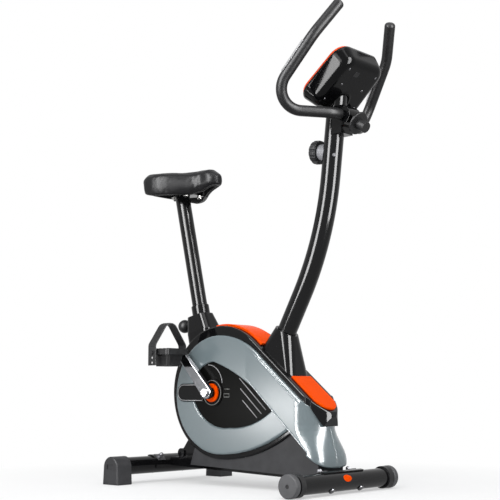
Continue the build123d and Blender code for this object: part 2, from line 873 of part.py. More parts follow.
disc_low = disc_z - disc_r
belly_end = (belly_end_x, belly(belly_end_x, disc_x, disc_low, belly_r))
belly_mid_x = (disc_x + belly_end_x) / 2
belly_mid = (belly_mid_x, belly(belly_mid_x, disc_x, disc_low, belly_r))
nose_low = (nose_low_x, nose_low_z)
slope_end = slope_point(slope_len)
shell_face = outline(
    CenterArc((disc_x, disc_z), disc_r, 180, 90),
    CenterArc((disc_x, disc_z), disc_r, 90 - slope_angle, 90 + slope_angle),
    Line(slope_top, slope_end),
    Line(slope_end, nose_low),
    Line(nose_low, belly_end),
    ThreePointArc(belly_end, belly_mid, (disc_x, disc_low)),
)
cover_back = (cover_back_x, rail_line(cover_back_x) + cover_lift)
cover_front = (cover_front_x, rail_line(cover_front_x) + cover_lift)
cover_top_back = (cover_top_back_x, disc_z - sqrt(disc_r**2 - (cover_top_back_x - disc_x) ** 2))
cover_face = polygon(
    cover_back, cover_front, (toe_x, toe_z), nose_low, belly_end, (disc_x, disc_z), cover_top_back
)
cavity = offset(shell_face + cover_face, amount=-sheet)
cover_face = cover_face - shell_face

post_up = Vector(sin(radians(mast_lean)), 0, cos(radians(mast_lean)))


def post_point(z):
    """Point of the front post's axis at a height."""
    return Vector(mast_ref_x, 0, mast_ref_z) + post_up * ((z - mast_ref_z) / post_up.Z)


joint = post_point(mast_joint_z)
post_solid = rod(mast_d, post_point(rail_line(0)), joint)
axle_hole = cross_rod(collar_d, crank_x, crank_z, -front_span, front_span)

shell = across(shell_face, 0, shell_half)
shell = fillet(shell.faces().sort_by(Axis.Y)[0].edges(), shell_edge)
shell = shell - across(cavity, 0, shell_half - sheet) - seat_bar - post_solid - axle_hole

cover = across(cover_face, 0, cover_half)
cover = cover - across(cavity, 0, cover_half - sheet) - rail_bar
cover = cover.solids().sort_by(SortBy.VOLUME)[-1]
save_pair("lower_cover", cover)

# Hub panel: a teardrop of four arcs, with a collar round the hub and three raised lines
hub_face = outline(
    SagittaArc((hub_tip_x, hub_tip_z), (hub_top_x, hub_top_z), -hub_top_bow),
    SagittaArc((hub_top_x, hub_top_z), (hub_rear_x, hub_rear_z), -hub_back_bow),
    SagittaArc((hub_rear_x, hub_rear_z), (hub_low_x, hub_low_z), -hub_heel_bow),
    SagittaArc((hub_low_x, hub_low_z), (hub_tip_x, hub_tip_z), -hub_low_bow),
)
plaque_face = link((crank_x, crank_z), (plaque_end_x, crank_z), plaque_h / 2)
plaque_out = shell_half + panel_t + plaque_t
plaque_cut = across(plaque_face, shell_half, plaque_out)
hub_ring_out = shell_half + hub_t + ring_t
hub_bore = cross_rod(ring_d, crank_x, crank_z, -hub_ring_out, -shell_half)
hub_panel = across(hub_face, shell_half, shell_half + hub_t)
hub_panel += cross_rod(collar_d, crank_x, crank_z, -shell_half - hub_t - collar_t, -shell_half)
for row in range(hub_ribs):
    rib = Pos(hub_rib_x - row * hub_rib_step, -shell_half - hub_t, hub_rib_z - row * hub_rib_pitch)
    rib *= Rot(0, sweep_angle, 0) * Box(hub_rib_len - row * hub_rib_shrink, 2 * hub_rib_h, hub_rib_w)
    hub_panel += rib
hub_panel = hub_panel - hub_bore - plaque_cut
save_pair("hub_panel", hub_panel)

plaque = plaque_cut - cross_rod(collar_d, crank_x, crank_z, -plaque_out, -shell_half)
save("plaques", both(plaque))
hub_ring = cross_rod(ring_d, crank_x, crank_z, -hub_ring_out, -shell_half)
hub_ring -= cross_rod(ring_bore, crank_x, crank_z, -hub_ring_out, -shell_half)
save("hub_rings", both(hub_ring))

# Grey side panel
panel_low = panel_z - panel_r
panel_join = slope_point((panel_join_x - slope_top[0]) / cos(slope), panel_slope_in)
panel_high_end = slope_point(slope_len, panel_slope_in)
panel_high_end = (slope_end[0], panel_high_end[1] - (slope_end[0] - panel_high_end[0]) * tan(slope))
panel_belly_end = (panel_belly_x, belly(panel_belly_x, panel_x, panel_low, belly_r))
panel_belly_mid_x = (panel_x + panel_belly_x) / 2
panel_belly_mid = (panel_belly_mid_x, belly(panel_belly_mid_x, panel_x, panel_low, belly_r))
panel_face = outline(
    CenterArc((panel_x, panel_z), panel_r, 180, 90),
    CenterArc((panel_x, panel_z), panel_r, 90, 90),
    TangentArc((panel_x, panel_z + panel_r), panel_join, tangent=(1, 0)),
    Line(panel_join, panel_high_end),
    Line(panel_high_end, nose_low),
    Line(nose_low, panel_belly_end),
    ThreePointArc(panel_belly_end, panel_belly_mid, (panel_x, panel_low)),
)
panel_out = shell_half + panel_t
hub_cut = across(hub_face, shell_half, panel_out + sweep_rise)
hub_brim = Plane.XZ.offset(panel_out + sweep_rise) * offset(hub_face, amount=hub_shoulder_w)
hub_cut += loft([Plane.XZ.offset(panel_out - hub_shoulder_h) * hub_face, hub_brim])
base = across(panel_face, shell_half, panel_out)
base = fillet(base.faces().sort_by(Axis.Y)[0].edges(), panel_edge)
hub_wall = across(offset(hub_face, amount=sheet + hub_shoulder_w), shell_half, panel_out)
hub_wall &= across(panel_face, shell_half, panel_out - sheet)
base = base - across(offset(panel_face, amount=-sheet), shell_half, panel_out - sheet) + hub_wall


def sweep_point(run):
    """Point on the crease line of the raised sweep."""
    return (sweep_x + run * cos(radians(sweep_angle)), sweep_z - run * sin(radians(sweep_angle)))


sweep_run = (nose_low_x - sweep_x) / cos(radians(sweep_angle))
crease_end = sweep_point(sweep_run)
sweep_top = slope_point((sweep_x - slope_top[0]) / cos(slope), panel_slope_in + sweep_in)
sweep_high = slope_point(slope_len, panel_slope_in + sweep_in)
sweep_high = (nose_low_x, sweep_high[1] - (nose_low_x - sweep_high[0]) * tan(slope))
sweep_face = polygon((sweep_x, sweep_z), crease_end, sweep_high, sweep_top)
raised = across(sweep_face, panel_out - sheet, panel_out + sweep_rise)
lift_run = nose_low_x - sweep_x
lift_plane = Plane(
    origin=(sweep_x, -panel_out, 0), x_dir=(lift_run, -sweep_rise, 0), z_dir=(-sweep_rise, -lift_run, 0)
)
raised = split(raised, lift_plane, keep=Keep.BOTTOM)
side_out = panel_out + sweep_rise


def nose_plan(front, bulge, turn, inset):
    """Plan of the right half of the nose, from a flat side round to the middle of the front."""
    side_y = inset - side_out
    back = (nose_back_x, 0)
    corner = (nose_back_x, side_y)
    middle = (front - inset, 0)
    curve = Bezier(middle, (front - inset, inset - bulge), (turn + nose_side_run, side_y), (turn, side_y))
    return outline(Line(back, middle), curve, Line((turn, side_y), corner), Line(corner, back))


def nose_section(z, inset):
    """Level section of the right half of the nose: slim from the waist up, broad at the toe."""
    slim = blend((z - nose_toe_z) / (nose_waist_z - nose_toe_z))
    front = nose_x + (nose_top_x - nose_x) * slim
    bulge = nose_toe_bulge + (nose_waist_bulge - nose_toe_bulge) * slim
    turn = nose_low_x + (nose_turn_x - nose_low_x) * slim
    return Pos(0, 0, z) * nose_plan(front, bulge, turn, inset)


nose_lid_z = slope_point((nose_back_x - slope_top[0]) / cos(slope))[1]


def nose_body(inset):
    """Right half of the nose, from under the sole up past the slope."""
    flare = nose_waist_z - nose_toe_z
    levels = [nose_toe_z + flare * step / nose_steps for step in range(nose_steps + 1)]
    levels = [nose_sole_z - sheet + inset, *levels, nose_lid_z]
    return loft([nose_section(z, inset) for z in levels], ruled=True)


def on_line(a, b, x):
    """Point at x on the line through a and b."""
    return (x, a[1] + (b[1] - a[1]) * (x - a[0]) / (b[0] - a[0]))


far_x = cap_front_x + top_half
near_x = nose_low_x - top_half
nose_roof = (nose_top_x, nose_top_z)
nose_toe = (toe_x, toe_z)
above_nose = polygon(
    on_line(panel_high_end, nose_roof, near_x),
    nose_roof,
    (far_x, nose_top_z),
    (far_x, slope_top[1]),
    (near_x, slope_top[1]),
)
below_nose = polygon(
    on_line(nose_low, nose_toe, near_x),
    nose_toe,
    (nose_x, nose_sole_z),
    (far_x, nose_sole_z),
    (far_x, 0),
    (near_x, 0),
)
nose_skin = nose_body(0) - nose_body(sheet)
nose = split(nose_skin, Plane.YZ.offset(nose_low_x), keep=Keep.TOP)
nose -= across(above_nose, -top_half, side_out + top_half)
nose -= across(below_nose, -top_half, side_out + top_half)
nose_block = polygon(
    (nose_back_x + sheet, nose_sole_z),
    (far_x, nose_sole_z),
    (far_x, nose_lid_z - sheet),
    (nose_back_x + sheet, nose_lid_z - sheet),
)
nose_block = across(nose_block, nose_side_run / 2, side_out + top_half)
shell -= nose_block - nose_body(0)
panel_room = offset(panel_face, amount=free_gap)
shell -= (nose_block - nose_body(sheet + free_gap)) & across(panel_room, 0, panel_out)
shell += nose_skin & across(shell_face - panel_room, nose_side_run / 2, shell_half)
save_pair("shell", shell.solids().sort_by(SortBy.VOLUME)[-1])
panel = base + raised - hub_cut - plaque_cut - (nose_block - nose_body(0))
panel += nose_skin & across(panel_face, nose_side_run / 2, panel_out - sheet / 2)
panel += nose
save_pair("panel", panel)

# Top covers and nose cap


def polar(radius, angle):
    """Point in x and z round the disc's centre."""
    return (disc_x + radius * cos(radians(angle)), disc_z + radius * sin(radians(angle)))


def crest(edge):
    """Tells whether an edge runs along the upper side border of a top cover."""
    middle = edge @ 0.5
    along = (middle.X - slope_top[0]) * cos(slope) - (middle.Z - slope_top[1]) * sin(slope)
    lift = (middle.X - slope_top[0]) * sin(slope) + (middle.Z - slope_top[1]) * cos(slope)
    if along < 0:
        lift = sqrt((middle.X - disc_x) ** 2 + (middle.Z - disc_z) ** 2) - disc_r
    return abs(abs(middle.Y) - top_half) < run_gap and lift > top_t - top_edge / 2


slope_start = 90 - slope_angle
rear_sweep = rear_top_start - slope_start
rear_top = outline(
    CenterArc((disc_x, disc_z), disc_r + top_t, slope_start, rear_sweep),
    Line(polar(disc_r + top_t, rear_top_start), polar(disc_r, rear_top_start)),
    CenterArc((disc_x, disc_z), disc_r, slope_start, rear_sweep),
    Line(slope_top, slope_point(boot_back)),
    Line(slope_point(boot_back), slope_point(boot_back, -top_t)),
    Line(slope_point(boot_back, -top_t), polar(disc_r + top_t, slope_start)),
)
rear_top = across(rear_top, -top_half, top_half)
rear_top = fillet([edge for edge in rear_top.edges() if crest(edge)], top_edge)
save("rear_top_cover", rear_top)

front_run = front_top_end - top_half - boot_front
front_top = Pos(boot_front + front_run / 2, 0) * Rectangle(front_run, 2 * top_half)
front_top += Pos(front_top_end - top_half, 0) * Circle(top_half)
front_top = extrude(slope_plane * front_top, amount=top_t)
front_face = front_top.faces().sort_by(Axis(slope_plane.origin, slope_plane.z_dir))[-1]
front_top = fillet(front_face.edges(), top_edge)
save("front_top_cover", front_top)

nose_side = outline(
    Line(slope_end, slope_point(front_top_end + cap_border)),
    Line(slope_point(front_top_end + cap_border), (cap_front_x, cap_front_z)),
    Line((cap_front_x, cap_front_z), (nose_top_x, nose_top_z)),
    Line((nose_top_x, nose_top_z), panel_high_end),
    Line(panel_high_end, slope_end),
)
cap_plan = nose_plan(cap_front_x, nose_waist_bulge, nose_turn_x, -cap_proud)
cap_plan += mirror(cap_plan, about=Plane.XZ)
nose_cap = across(nose_side, -side_out, side_out) & extrude(cap_plan, amount=slope_top[1])
cap_top = nose_cap.faces().sort_by(Axis(slope_plane.origin, slope_plane.z_dir))[-1]
cap_rim = [edge for edge in cap_top.edges() if (edge @ 0.5).X > slope_end[0] + run_gap]
nose_cap = fillet(cap_rim, cap_edge)
save("nose_cap", nose_cap)

# Mast boot, front post and mast
boot_mid = (boot_back + boot_front) / 2
boot_len = boot_front - boot_back
boot_low = slope_plane * Pos(boot_mid, 0) * RectangleRounded(boot_len, 2 * boot_half, boot_corner)
boot_plane = Plane(origin=post_point(boot_top_z), x_dir=(post_up.Z, 0, -post_up.X), z_dir=post_up)
boot_high = boot_plane * RectangleRounded(boot_top_d, boot_top_d, boot_top_corner)
boot_core_low = slope_plane * Pos(boot_mid, 0) * RectangleRounded(
    boot_len - 2 * sheet, 2 * boot_half - 2 * sheet, boot_corner - sheet
)
boot_core_d = boot_top_d - 2 * sheet
boot_core_high = RectangleRounded(boot_core_d, boot_core_d, boot_top_corner - sheet)
boot_core_high = boot_plane.offset(-sheet) * boot_core_high
boot = loft([boot_low, boot_high]) - loft([boot_core_low, boot_core_high])
boot = boot - post_solid - rear_top - front_top
save("mast_boot", boot)

mast_in = mast_d - 2 * mast_wall
stub_end = joint + post_up * mast_stub
front_post = post_solid + rod(mast_in, joint - post_up * mast_stub, stub_end)
front_post -= rod(mast_in - 2 * mast_wall, post_point(rail_line(0)), stub_end)
front_post = split(front_post, rail_face, keep=Keep.TOP) - seat_bar
front_post = front_post.solids().sort_by(SortBy.VOLUME)[-1]
save("front_post", front_post)

bend_start = joint + post_up * mast_straight
bend_centre = bend_start + Vector(-post_up.Z, 0, post_up.X) * mast_bend_r
top_up = Vector(sin(radians(mast_top_lean)), 0, cos(radians(mast_top_lean)))
bend_end = bend_centre + Vector(top_up.Z, 0, -top_up.X) * mast_bend_r


def mast_point(z):
    """Point of the mast's upper straight axis at a height."""
    return bend_end + top_up * ((z - bend_end.Z) / top_up.Z)


console = Plane(
    origin=(console_x, 0, console_z),
    x_dir=(0, -1, 0),
    z_dir=(-sin(radians(console_tilt)), 0, cos(radians(console_tilt))),
)
mast_path = Wire(
    [
        Line(joint, bend_start).edge(),
        TangentArc(bend_start, bend_end, tangent=post_up).edge(),
        Line(bend_end, mast_point(console_z)).edge(),
    ]
)
plate_depth = console_plate_depth + console_plate_t
mast_core = split(pipe(mast_path, mast_d), console.offset(-console_plate_depth), keep=Keep.BOTTOM)
mast_shape = split(mast_core, console.offset(-plate_depth), keep=Keep.BOTTOM)
console_plate = split(mast_core, console.offset(-plate_depth), keep=Keep.TOP)
clamp_box = Pos((mast_point(bar_z).X + bar_x) / 2, 0, bar_z - clamp_drop / 2)
clamp_box *= Box(bar_x - mast_point(bar_z).X, 2 * clamp_half, clamp_d + clamp_drop)
mast = mast_shape + clamp_box
mast -= pipe(mast_path, mast_in)
mast = mast + console_plate
mast -= cross_rod(bar_d + 2 * run_gap, bar_x, bar_z, -clamp_d, clamp_d)
tension_axis = mast_point(tension_z)
tension_out = Vector(-top_up.Z, 0, top_up.X)
tension_hole = rod(tension_shaft_d + 2 * run_gap, tension_axis, tension_axis + tension_out * mast_d)
knob_dir = Vector(cos(radians(clamp_knob_dip)), 0, -sin(radians(clamp_knob_dip)))
bar_axis = Vector(bar_x, 0, bar_z)

# Tension control
tension_seat = tension_axis + tension_out * (mast_d / 2 + tension_base_len)
mast_bar = rod(mast_d, mast_point(tension_z - mast_d), mast_point(tension_z + mast_d))
tension_base = rod(tension_base_d, tension_axis, tension_seat) - mast_bar
tension_base = tension_base.solids().sort_by(SortBy.VOLUME)[-1] - tension_hole
save("tension_base", tension_base)
knob_start = tension_seat + tension_out * free_gap
knob_end = knob_start + tension_out * tension_knob_len
tension_knob = rod(tension_knob_d, knob_start, knob_end)
tension_knob = fillet(tension_knob.edges().filter_by(GeomType.CIRCLE), tension_knob_edge)
knob_plane = Plane(origin=knob_start, x_dir=(0, 1, 0), z_dir=tension_out)
flute_spots = PolarLocations(tension_knob_d / 2, tension_flutes)
flute = Pos(0, 0, tension_knob_len / 2) * Cylinder(tension_flute_d / 2, tension_knob_len)
tension_knob -= [knob_plane * spot * flute for spot in flute_spots]
tension_shaft_end = knob_end - tension_out * tension_knob_edge
tension_knob += rod(tension_shaft_d, knob_start - tension_out * tension_shaft_len, tension_shaft_end)
save("tension_knob", tension_knob)
screw_axis = mast_point(tension_z - tension_base_d / 4)
screw_out = Vector(top_up.Z * cos(pi / 4), -sin(pi / 4), -top_up.X * cos(pi / 4))
tension_screw = rod(tension_screw_d, screw_axis, screw_axis + screw_out * (mast_d / 2 + tension_screw_h))
tension_screw -= mast_bar
joint_screw_out = Vector(-post_up.Z, 0, post_up.X)
joint_screw_axis = joint + post_up * (mast_stub / 2)
joint_screw_end = joint_screw_axis + joint_screw_out * (mast_d / 2 + mast_screw_h)
joint_screw = rod(mast_screw_d, joint_screw_axis, joint_screw_end)
joint_screw -= rod(mast_d, joint, joint + post_up * mast_straight)
save("mast_screws", tension_screw, joint_screw)

# Handlebar clamp and its knob
clamp_cap = across(band(bar_d / 2 + run_gap, clamp_d / 2, -90, 180), -clamp_half, clamp_half)
clamp_cap = Pos(bar_x, 0, bar_z) * clamp_cap
boss_start = bar_axis + knob_dir * (clamp_d / 2 - sheet)
clamp_cap += rod(clamp_boss_d, boss_start, bar_axis + knob_dir * clamp_boss_out)
screw_start = bar_axis + knob_dir * (bar_d / 2 + free_gap)
flange_start = bar_axis + knob_dir * (clamp_boss_out + knob_gap)
flange_end = flange_start + knob_dir * knob_flange_t
clamp_cap -= rod(clamp_screw_d + 2 * run_gap, bar_axis, flange_end)
save("clamp_cap", clamp_cap)
hub_end = flange_end + knob_dir * knob_hub_len
clamp_knob = rod(clamp_screw_d, screw_start, flange_end)
flange = rod(knob_flange_d, flange_start, flange_end)
clamp_knob += fillet(flange.edges().filter_by(GeomType.CIRCLE), knob_flange_edge)
clamp_knob += rod(knob_hub_d, flange_end, hub_end)
save("clamp_knob", clamp_knob)
save("mast", mast - tension_hole)

# Handlebar, foam grips and pulse sensors
bar_points = [
    (bar_x, -bar_mid_y, bar_z),
    (bar_back_x, -bar_back_y, bar_back_z),
    (bar_knee_x, -bar_knee_y, bar_knee_z),
    (bar_end_x, -bar_end_y, bar_end_z),
]
bar_radii = [bar_mid_r, bar_back_r, bar_knee_r]
bar_last = Vector(*bar_points[-1])
bar_along = (bar_last - Vector(*bar_points[-2])).normalized()
bar_stop = bar_last - bar_along * bar_plug
bar_path = bent_path([(bar_x, 0, bar_z), *bar_points[:-1], bar_stop], bar_radii)
bar_half = pipe(bar_path, bar_d) - pipe(bar_path, bar_d - 2 * bar_wall)
handlebar = bar_half + mirror(bar_half, about=Plane.XZ)
save("handlebar", handlebar)

grip_path = bent_path([(bar_x, -grip_start, bar_z), *bar_points], bar_radii)
grip = fillet(pipe(grip_path, grip_d).edges().sort_by(Axis.Z)[-1], grip_edge)
grip -= pipe(bar_path, bar_d + 2 * free_gap)
save_pair("grip", grip)

sensor_up = (Vector(*bar_points[2]) - Vector(*bar_points[1])).normalized()
sensor_start = Vector(*bar_points[2]) - sensor_up * (sensor_below + sensor_len)
sensor_plane = Plane(origin=sensor_start, x_dir=sensor_up.cross(Vector(0, 1, 0)), z_dir=sensor_up)
sensor_sweep = degrees(2 * pi) * sensor_share
sensor_face = band(grip_d / 2 + free_gap, sensor_d / 2, -sensor_sweep / 2, sensor_sweep)
sensor = extrude(sensor_plane * sensor_face, amount=sensor_len)
save("pulse_sensors", both(sensor))

# Console
half_h = console_h / 2
console_face = polygon(
    (-console_low_half, -half_h),
    (console_low_half, -half_h),
    (console_high_half, half_h),
    (-console_high_half, half_h),
)
console_face = fillet(console_face.vertices(), console_corner)
console_core = offset(console_face, amount=-console_wall)
console_down = -console.z_dir
back_out = extrude(console * console_face, amount=console_depth, dir=console_down, taper=console_draft)
back_out = fillet(back_out.faces().sort_by(Axis(console.origin, console.z_dir))[0].edges(), console_back_edge)
back_deep = console_depth - console_wall
back_in = extrude(console * console_core, amount=back_deep, dir=console_down, taper=console_draft)
back_in_edges = back_in.faces().sort_by(Axis(console.origin, console.z_dir))[0].edges()
back_in = fillet(back_in_edges, console_back_edge - console_wall)


def socket(wall):
    """Bore in the back that takes the end of the mast, a given wall larger."""
    bore = rod(mast_d + 2 * console_socket_gap + 2 * wall, mast_point(bar_z), mast_point(console_z))
    return split(bore, console.offset(wall - console_plate_depth), keep=Keep.BOTTOM)


console_back = back_out - (back_in - socket(console_wall)) - socket(0)
console_back = console_back.solids().sort_by(SortBy.VOLUME)[-1]
save("console_back", console_back)

front_out = extrude(console * console_face, amount=console_front_t, taper=console_front_draft)
front_out = fillet(front_out.faces().sort_by(Axis(console.origin, console.z_dir))[-1].edges(), console_wall)
front_in = extrude(console * console_core, amount=console_front_t - console_wall, taper=console_front_draft)
lens_plane = console.offset(console_front_t - lens_t)
lens = extrude(lens_plane * Pos(0, lens_y) * RectangleRounded(lens_w, lens_h, lens_corner), amount=lens_t)
window = Pos(0, lens_y) * RectangleRounded(lens_w - 2 * lens_t, lens_h - 2 * lens_t, lens_corner)
window = extrude(console.offset(console_front_t / 2) * window, amount=console_front_t)
rebate = Pos(0, lens_y) * RectangleRounded(lens_w + 2 * console_wall, lens_h + 2 * console_wall, lens_corner)
rebate = extrude(console.offset(console_front_t - 2 * lens_t) * rebate, amount=2 * lens_t)
key_hole = console * Pos(0, key_y, console_front_t) * Cylinder(key_d / 2 + free_gap, 4 * key_t)
console_front = front_out - front_in + rebate - lens - window - key_hole
save("console_front", console_front)
save("console_lens", lens)
key = console * Pos(0, key_y, console_front_t + key_proud - key_t / 2) * Cylinder(key_d / 2, key_t)
save("console_key", key)

# Crank axle, cranks and pedals
crank_dir = Vector(cos(radians(crank_angle)), 0, sin(radians(crank_angle)))
spindle_x = crank_x + crank_len * crank_dir.X
spindle_z = crank_z + crank_len * crank_dir.Z
crank_out_y = crank_in_y + crank_t
axle = cross_rod(axle_d, crank_x, crank_z, -crank_out_y, crank_out_y)
for side in (-1, 1):
    axle += cross_rod(axle_nut_d, crank_x, crank_z, side * crank_out_y, side * (crank_out_y + axle_nut_h))
save("crank_axle", axle)


def crank_face(x, z):
    """Tapered outline of a crank arm from the axle to the pedal eye."""
    hub = (Pos(crank_x, crank_z) * Circle(crank_hub_d / 2)).edges()
    eye = (Pos(x, z) * Circle(crank_eye_d / 2)).edges()
    return make_hull(hub + eye)


def spindle(x, z):
    """Pedal spindle on the right side."""
    return cross_rod(spindle_d, x, z, -pedal_out_y + pedal_gap, -crank_in_y)


pedal_in_y = crank_out_y + pedal_gap
pedal_out_y = pedal_in_y + pedal_w
strap_out_y = -pedal_out_y - strap_stand - strap_t / 2
axle_bore = cross_rod(axle_d, crank_x, crank_z, -front_span, front_span)


def crank(x, z):
    """Right-hand crank arm with its pedal spindle."""
    arm = across(crank_face(x, z), crank_in_y, crank_out_y)
    arm = fillet(arm.faces().sort_by(Axis.Y)[0].edges(), crank_edge)
    return arm - axle_bore + spindle(x, z)


low_x = 2 * crank_x - spindle_x
low_z = 2 * crank_z - spindle_z
save("crank_right", crank(spindle_x, spindle_z))
save("crank_left", mirror(crank(low_x, low_z), about=Plane.XZ))


def strap_hole_z(z, row):
    """Height of one of the strap's holes, counted from the end of its tail."""
    return z + pedal_above - strap_tail + strap_hole_start + strap_hole_pitch * row


def pedal(x, z):
    """Right-hand pedal: tread platform over a tapered weight, level, with a peg for the strap."""
    mid_y = -(pedal_in_y + pedal_out_y) / 2
    top = z + pedal_above
    deck_low = Pos(x, mid_y, top - pedal_t)
    deck = deck_low * extrude(RectangleRounded(pedal_l, pedal_w, pedal_corner), amount=pedal_t)
    low_top = deck_low * RectangleRounded(pedal_low_l, pedal_low_w, pedal_corner)
    low_end = deck_low * Pos(0, 0, -pedal_drop) * RectangleRounded(pedal_sole_l, pedal_sole_w, pedal_corner)
    body = deck + loft([low_top, low_end])
    for row in range(pedal_treads):
        tread_x = x + (row - (pedal_treads - 1) / 2) * pedal_l / pedal_treads
        body += Pos(tread_x, mid_y, top) * Box(pedal_tread_w, pedal_tread_len, 2 * pedal_tread_h)
    peg_z = strap_hole_z(z, strap_peg_row)
    head_y = strap_out_y - strap_t / 2 - free_gap
    body += cross_rod(strap_hole_d - 2 * free_gap, x - strap_skew, peg_z, head_y, mid_y)
    body += cross_rod(strap_peg_d, x - strap_skew, peg_z, head_y - strap_peg_head, head_y)
    return body - cross_rod(spindle_d + 2 * run_gap, x, z, -pedal_out_y + pedal_gap - free_gap, -crank_in_y)


def strap(x, z):
    """Right-hand rubber strap: a tail with holes, up the outer side, over the foot and down inside."""
    in_y = -pedal_in_y + free_gap + strap_t / 2
    mid_y = (strap_out_y + in_y) / 2
    top = z + pedal_above
    path = bent_path(
        [
            (x, strap_out_y, top - strap_tail),
            (x, strap_out_y, top + strap_leg),
            (x, mid_y, top + strap_peak),
            (x, in_y, top + strap_leg),
            (x, in_y, top - strap_hook),
        ],
        [strap_round, strap_round, strap_round],
    )
    start = Plane(origin=path @ 0, x_dir=(1, 0, 0), z_dir=path % 0)
    belt = sweep(start * Rectangle(strap_w, strap_t), path=path)
    # The strap lies askew: its tail sits behind the spindle and its hook before it.
    lean = 2 * strap_skew / (in_y - strap_out_y)
    askew = Matrix([[1, lean, 0, -lean * mid_y], [0, 1, 0, 0], [0, 0, 1, 0]])
    belt = Solid(belt.solid().transform_geometry(askew).wrapped)
    tail_x = x - strap_skew
    for row in range(strap_holes):
        hole_z = strap_hole_z(z, row)
        belt -= cross_rod(strap_hole_d, tail_x, hole_z, strap_out_y - strap_t, strap_out_y + strap_t)
    return belt


save("pedal_right", pedal(spindle_x, spindle_z))
save("pedal_left", mirror(pedal(low_x, low_z), about=Plane.XZ))
save("strap_right", strap(spindle_x, spindle_z))
save("strap_left", mirror(strap(low_x, low_z), about=Plane.XZ))

# Pulley, belt, flywheel and magnet bracket
pulley = cross_rod(pulley_d, crank_x, crank_z, -belt_y - pulley_w / 2, -belt_y + pulley_w / 2)
for side in (-1, 1):
    edge_y = -belt_y + side * pulley_w / 2
    pulley -= cross_rod(pulley_d - 2 * pulley_rim, crank_x, crank_z, edge_y, -belt_y + side * pulley_web / 2)
pulley += cross_rod(pulley_hub_d, crank_x, crank_z, -belt_y - pulley_w / 2, -belt_y + pulley_w / 2)
hole_r = (pulley_d / 2 - pulley_rim + pulley_hub_d / 2) / 2
for step in range(pulley_holes):
    turn = 2 * pi * step / pulley_holes
    hole_x = crank_x + hole_r * cos(turn)
    pulley -= cross_rod(pulley_hole_d, hole_x, crank_z + hole_r * sin(turn), -2 * belt_y, 0)
save("crank_pulley", pulley - axle_bore)


def belt_face(lift):
    """Outline of the belt round both pulleys, a given way off their rims."""
    big = (Pos(crank_x, crank_z) * Circle(pulley_d / 2 + lift)).edges()
    small = (Pos(fly_x, fly_z) * Circle(fly_pulley_d / 2 + lift)).edges()
    return make_hull(big + small)


belt_loop = belt_face(belt_gap + belt_t) - belt_face(belt_gap)
save("drive_belt", across(belt_loop, belt_y - belt_w / 2, belt_y + belt_w / 2))

fly_in = fly_y - fly_w / 2
flywheel = cross_rod(fly_d, fly_x, fly_z, fly_in, fly_in + fly_w)
flywheel += cross_rod(fly_hub_d, fly_x, fly_z, pulley_w / 2 - belt_y, fly_in)
flywheel += cross_rod(fly_pulley_d, fly_x, fly_z, -belt_y - pulley_w / 2, pulley_w / 2 - belt_y)
flywheel -= cross_rod(fly_axle_d + 2 * run_gap, fly_x, fly_z, -front_span, front_span)
save("flywheel", flywheel)
fly_axle = cross_rod(fly_axle_d, fly_x, fly_z, -fly_right - 2 * fly_plate_t, fly_left + 2 * fly_plate_t)
save("flywheel_axle", fly_axle)

magnet_in = fly_d / 2 + magnet_gap
magnet = band(magnet_in, magnet_in + magnet_t, magnet_from, magnet_sweep)
magnet = Pos(fly_x, 0, fly_z) * across(magnet, -fly_y - magnet_w / 2, -fly_y + magnet_w / 2)
magnet += cross_rod(2 * magnet_pin_d, magnet_pin_x, magnet_pin_z, fly_in, fly_left - free_gap)
magnet += cross_rod(magnet_pin_d, magnet_pin_x, magnet_pin_z, fly_in, fly_left + fly_plate_t)
save("magnet_bracket", magnet)
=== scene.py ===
import json
from math import cos, exp, pi, radians, sin, tan

import bmesh
import bpy
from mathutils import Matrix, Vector, noise


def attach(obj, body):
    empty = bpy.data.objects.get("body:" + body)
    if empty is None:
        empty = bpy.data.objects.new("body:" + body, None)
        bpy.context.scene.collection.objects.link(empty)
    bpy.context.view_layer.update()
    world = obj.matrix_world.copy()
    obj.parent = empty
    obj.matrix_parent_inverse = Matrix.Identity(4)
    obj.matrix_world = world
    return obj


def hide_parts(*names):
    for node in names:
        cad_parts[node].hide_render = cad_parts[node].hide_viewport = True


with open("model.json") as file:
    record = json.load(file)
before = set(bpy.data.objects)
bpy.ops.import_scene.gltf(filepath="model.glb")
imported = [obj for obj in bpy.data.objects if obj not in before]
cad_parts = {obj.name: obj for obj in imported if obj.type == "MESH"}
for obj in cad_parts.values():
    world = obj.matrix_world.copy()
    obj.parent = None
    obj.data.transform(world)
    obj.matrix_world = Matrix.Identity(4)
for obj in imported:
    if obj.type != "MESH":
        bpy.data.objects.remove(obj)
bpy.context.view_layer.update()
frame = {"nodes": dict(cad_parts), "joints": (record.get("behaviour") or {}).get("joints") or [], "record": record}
nodes = frame["nodes"]
joints = {joint["name"]: joint for joint in frame["joints"]}
scene = bpy.context.scene

# What takes x in the part's drawing to x in the scene, in millimetres
shift = -28.3


def at(x, y, z):
    """Point of the part's drawing, in millimetres, as a place in the scene."""
    return Vector(((x + shift) / 1000, y / 1000, z / 1000))


# Materials


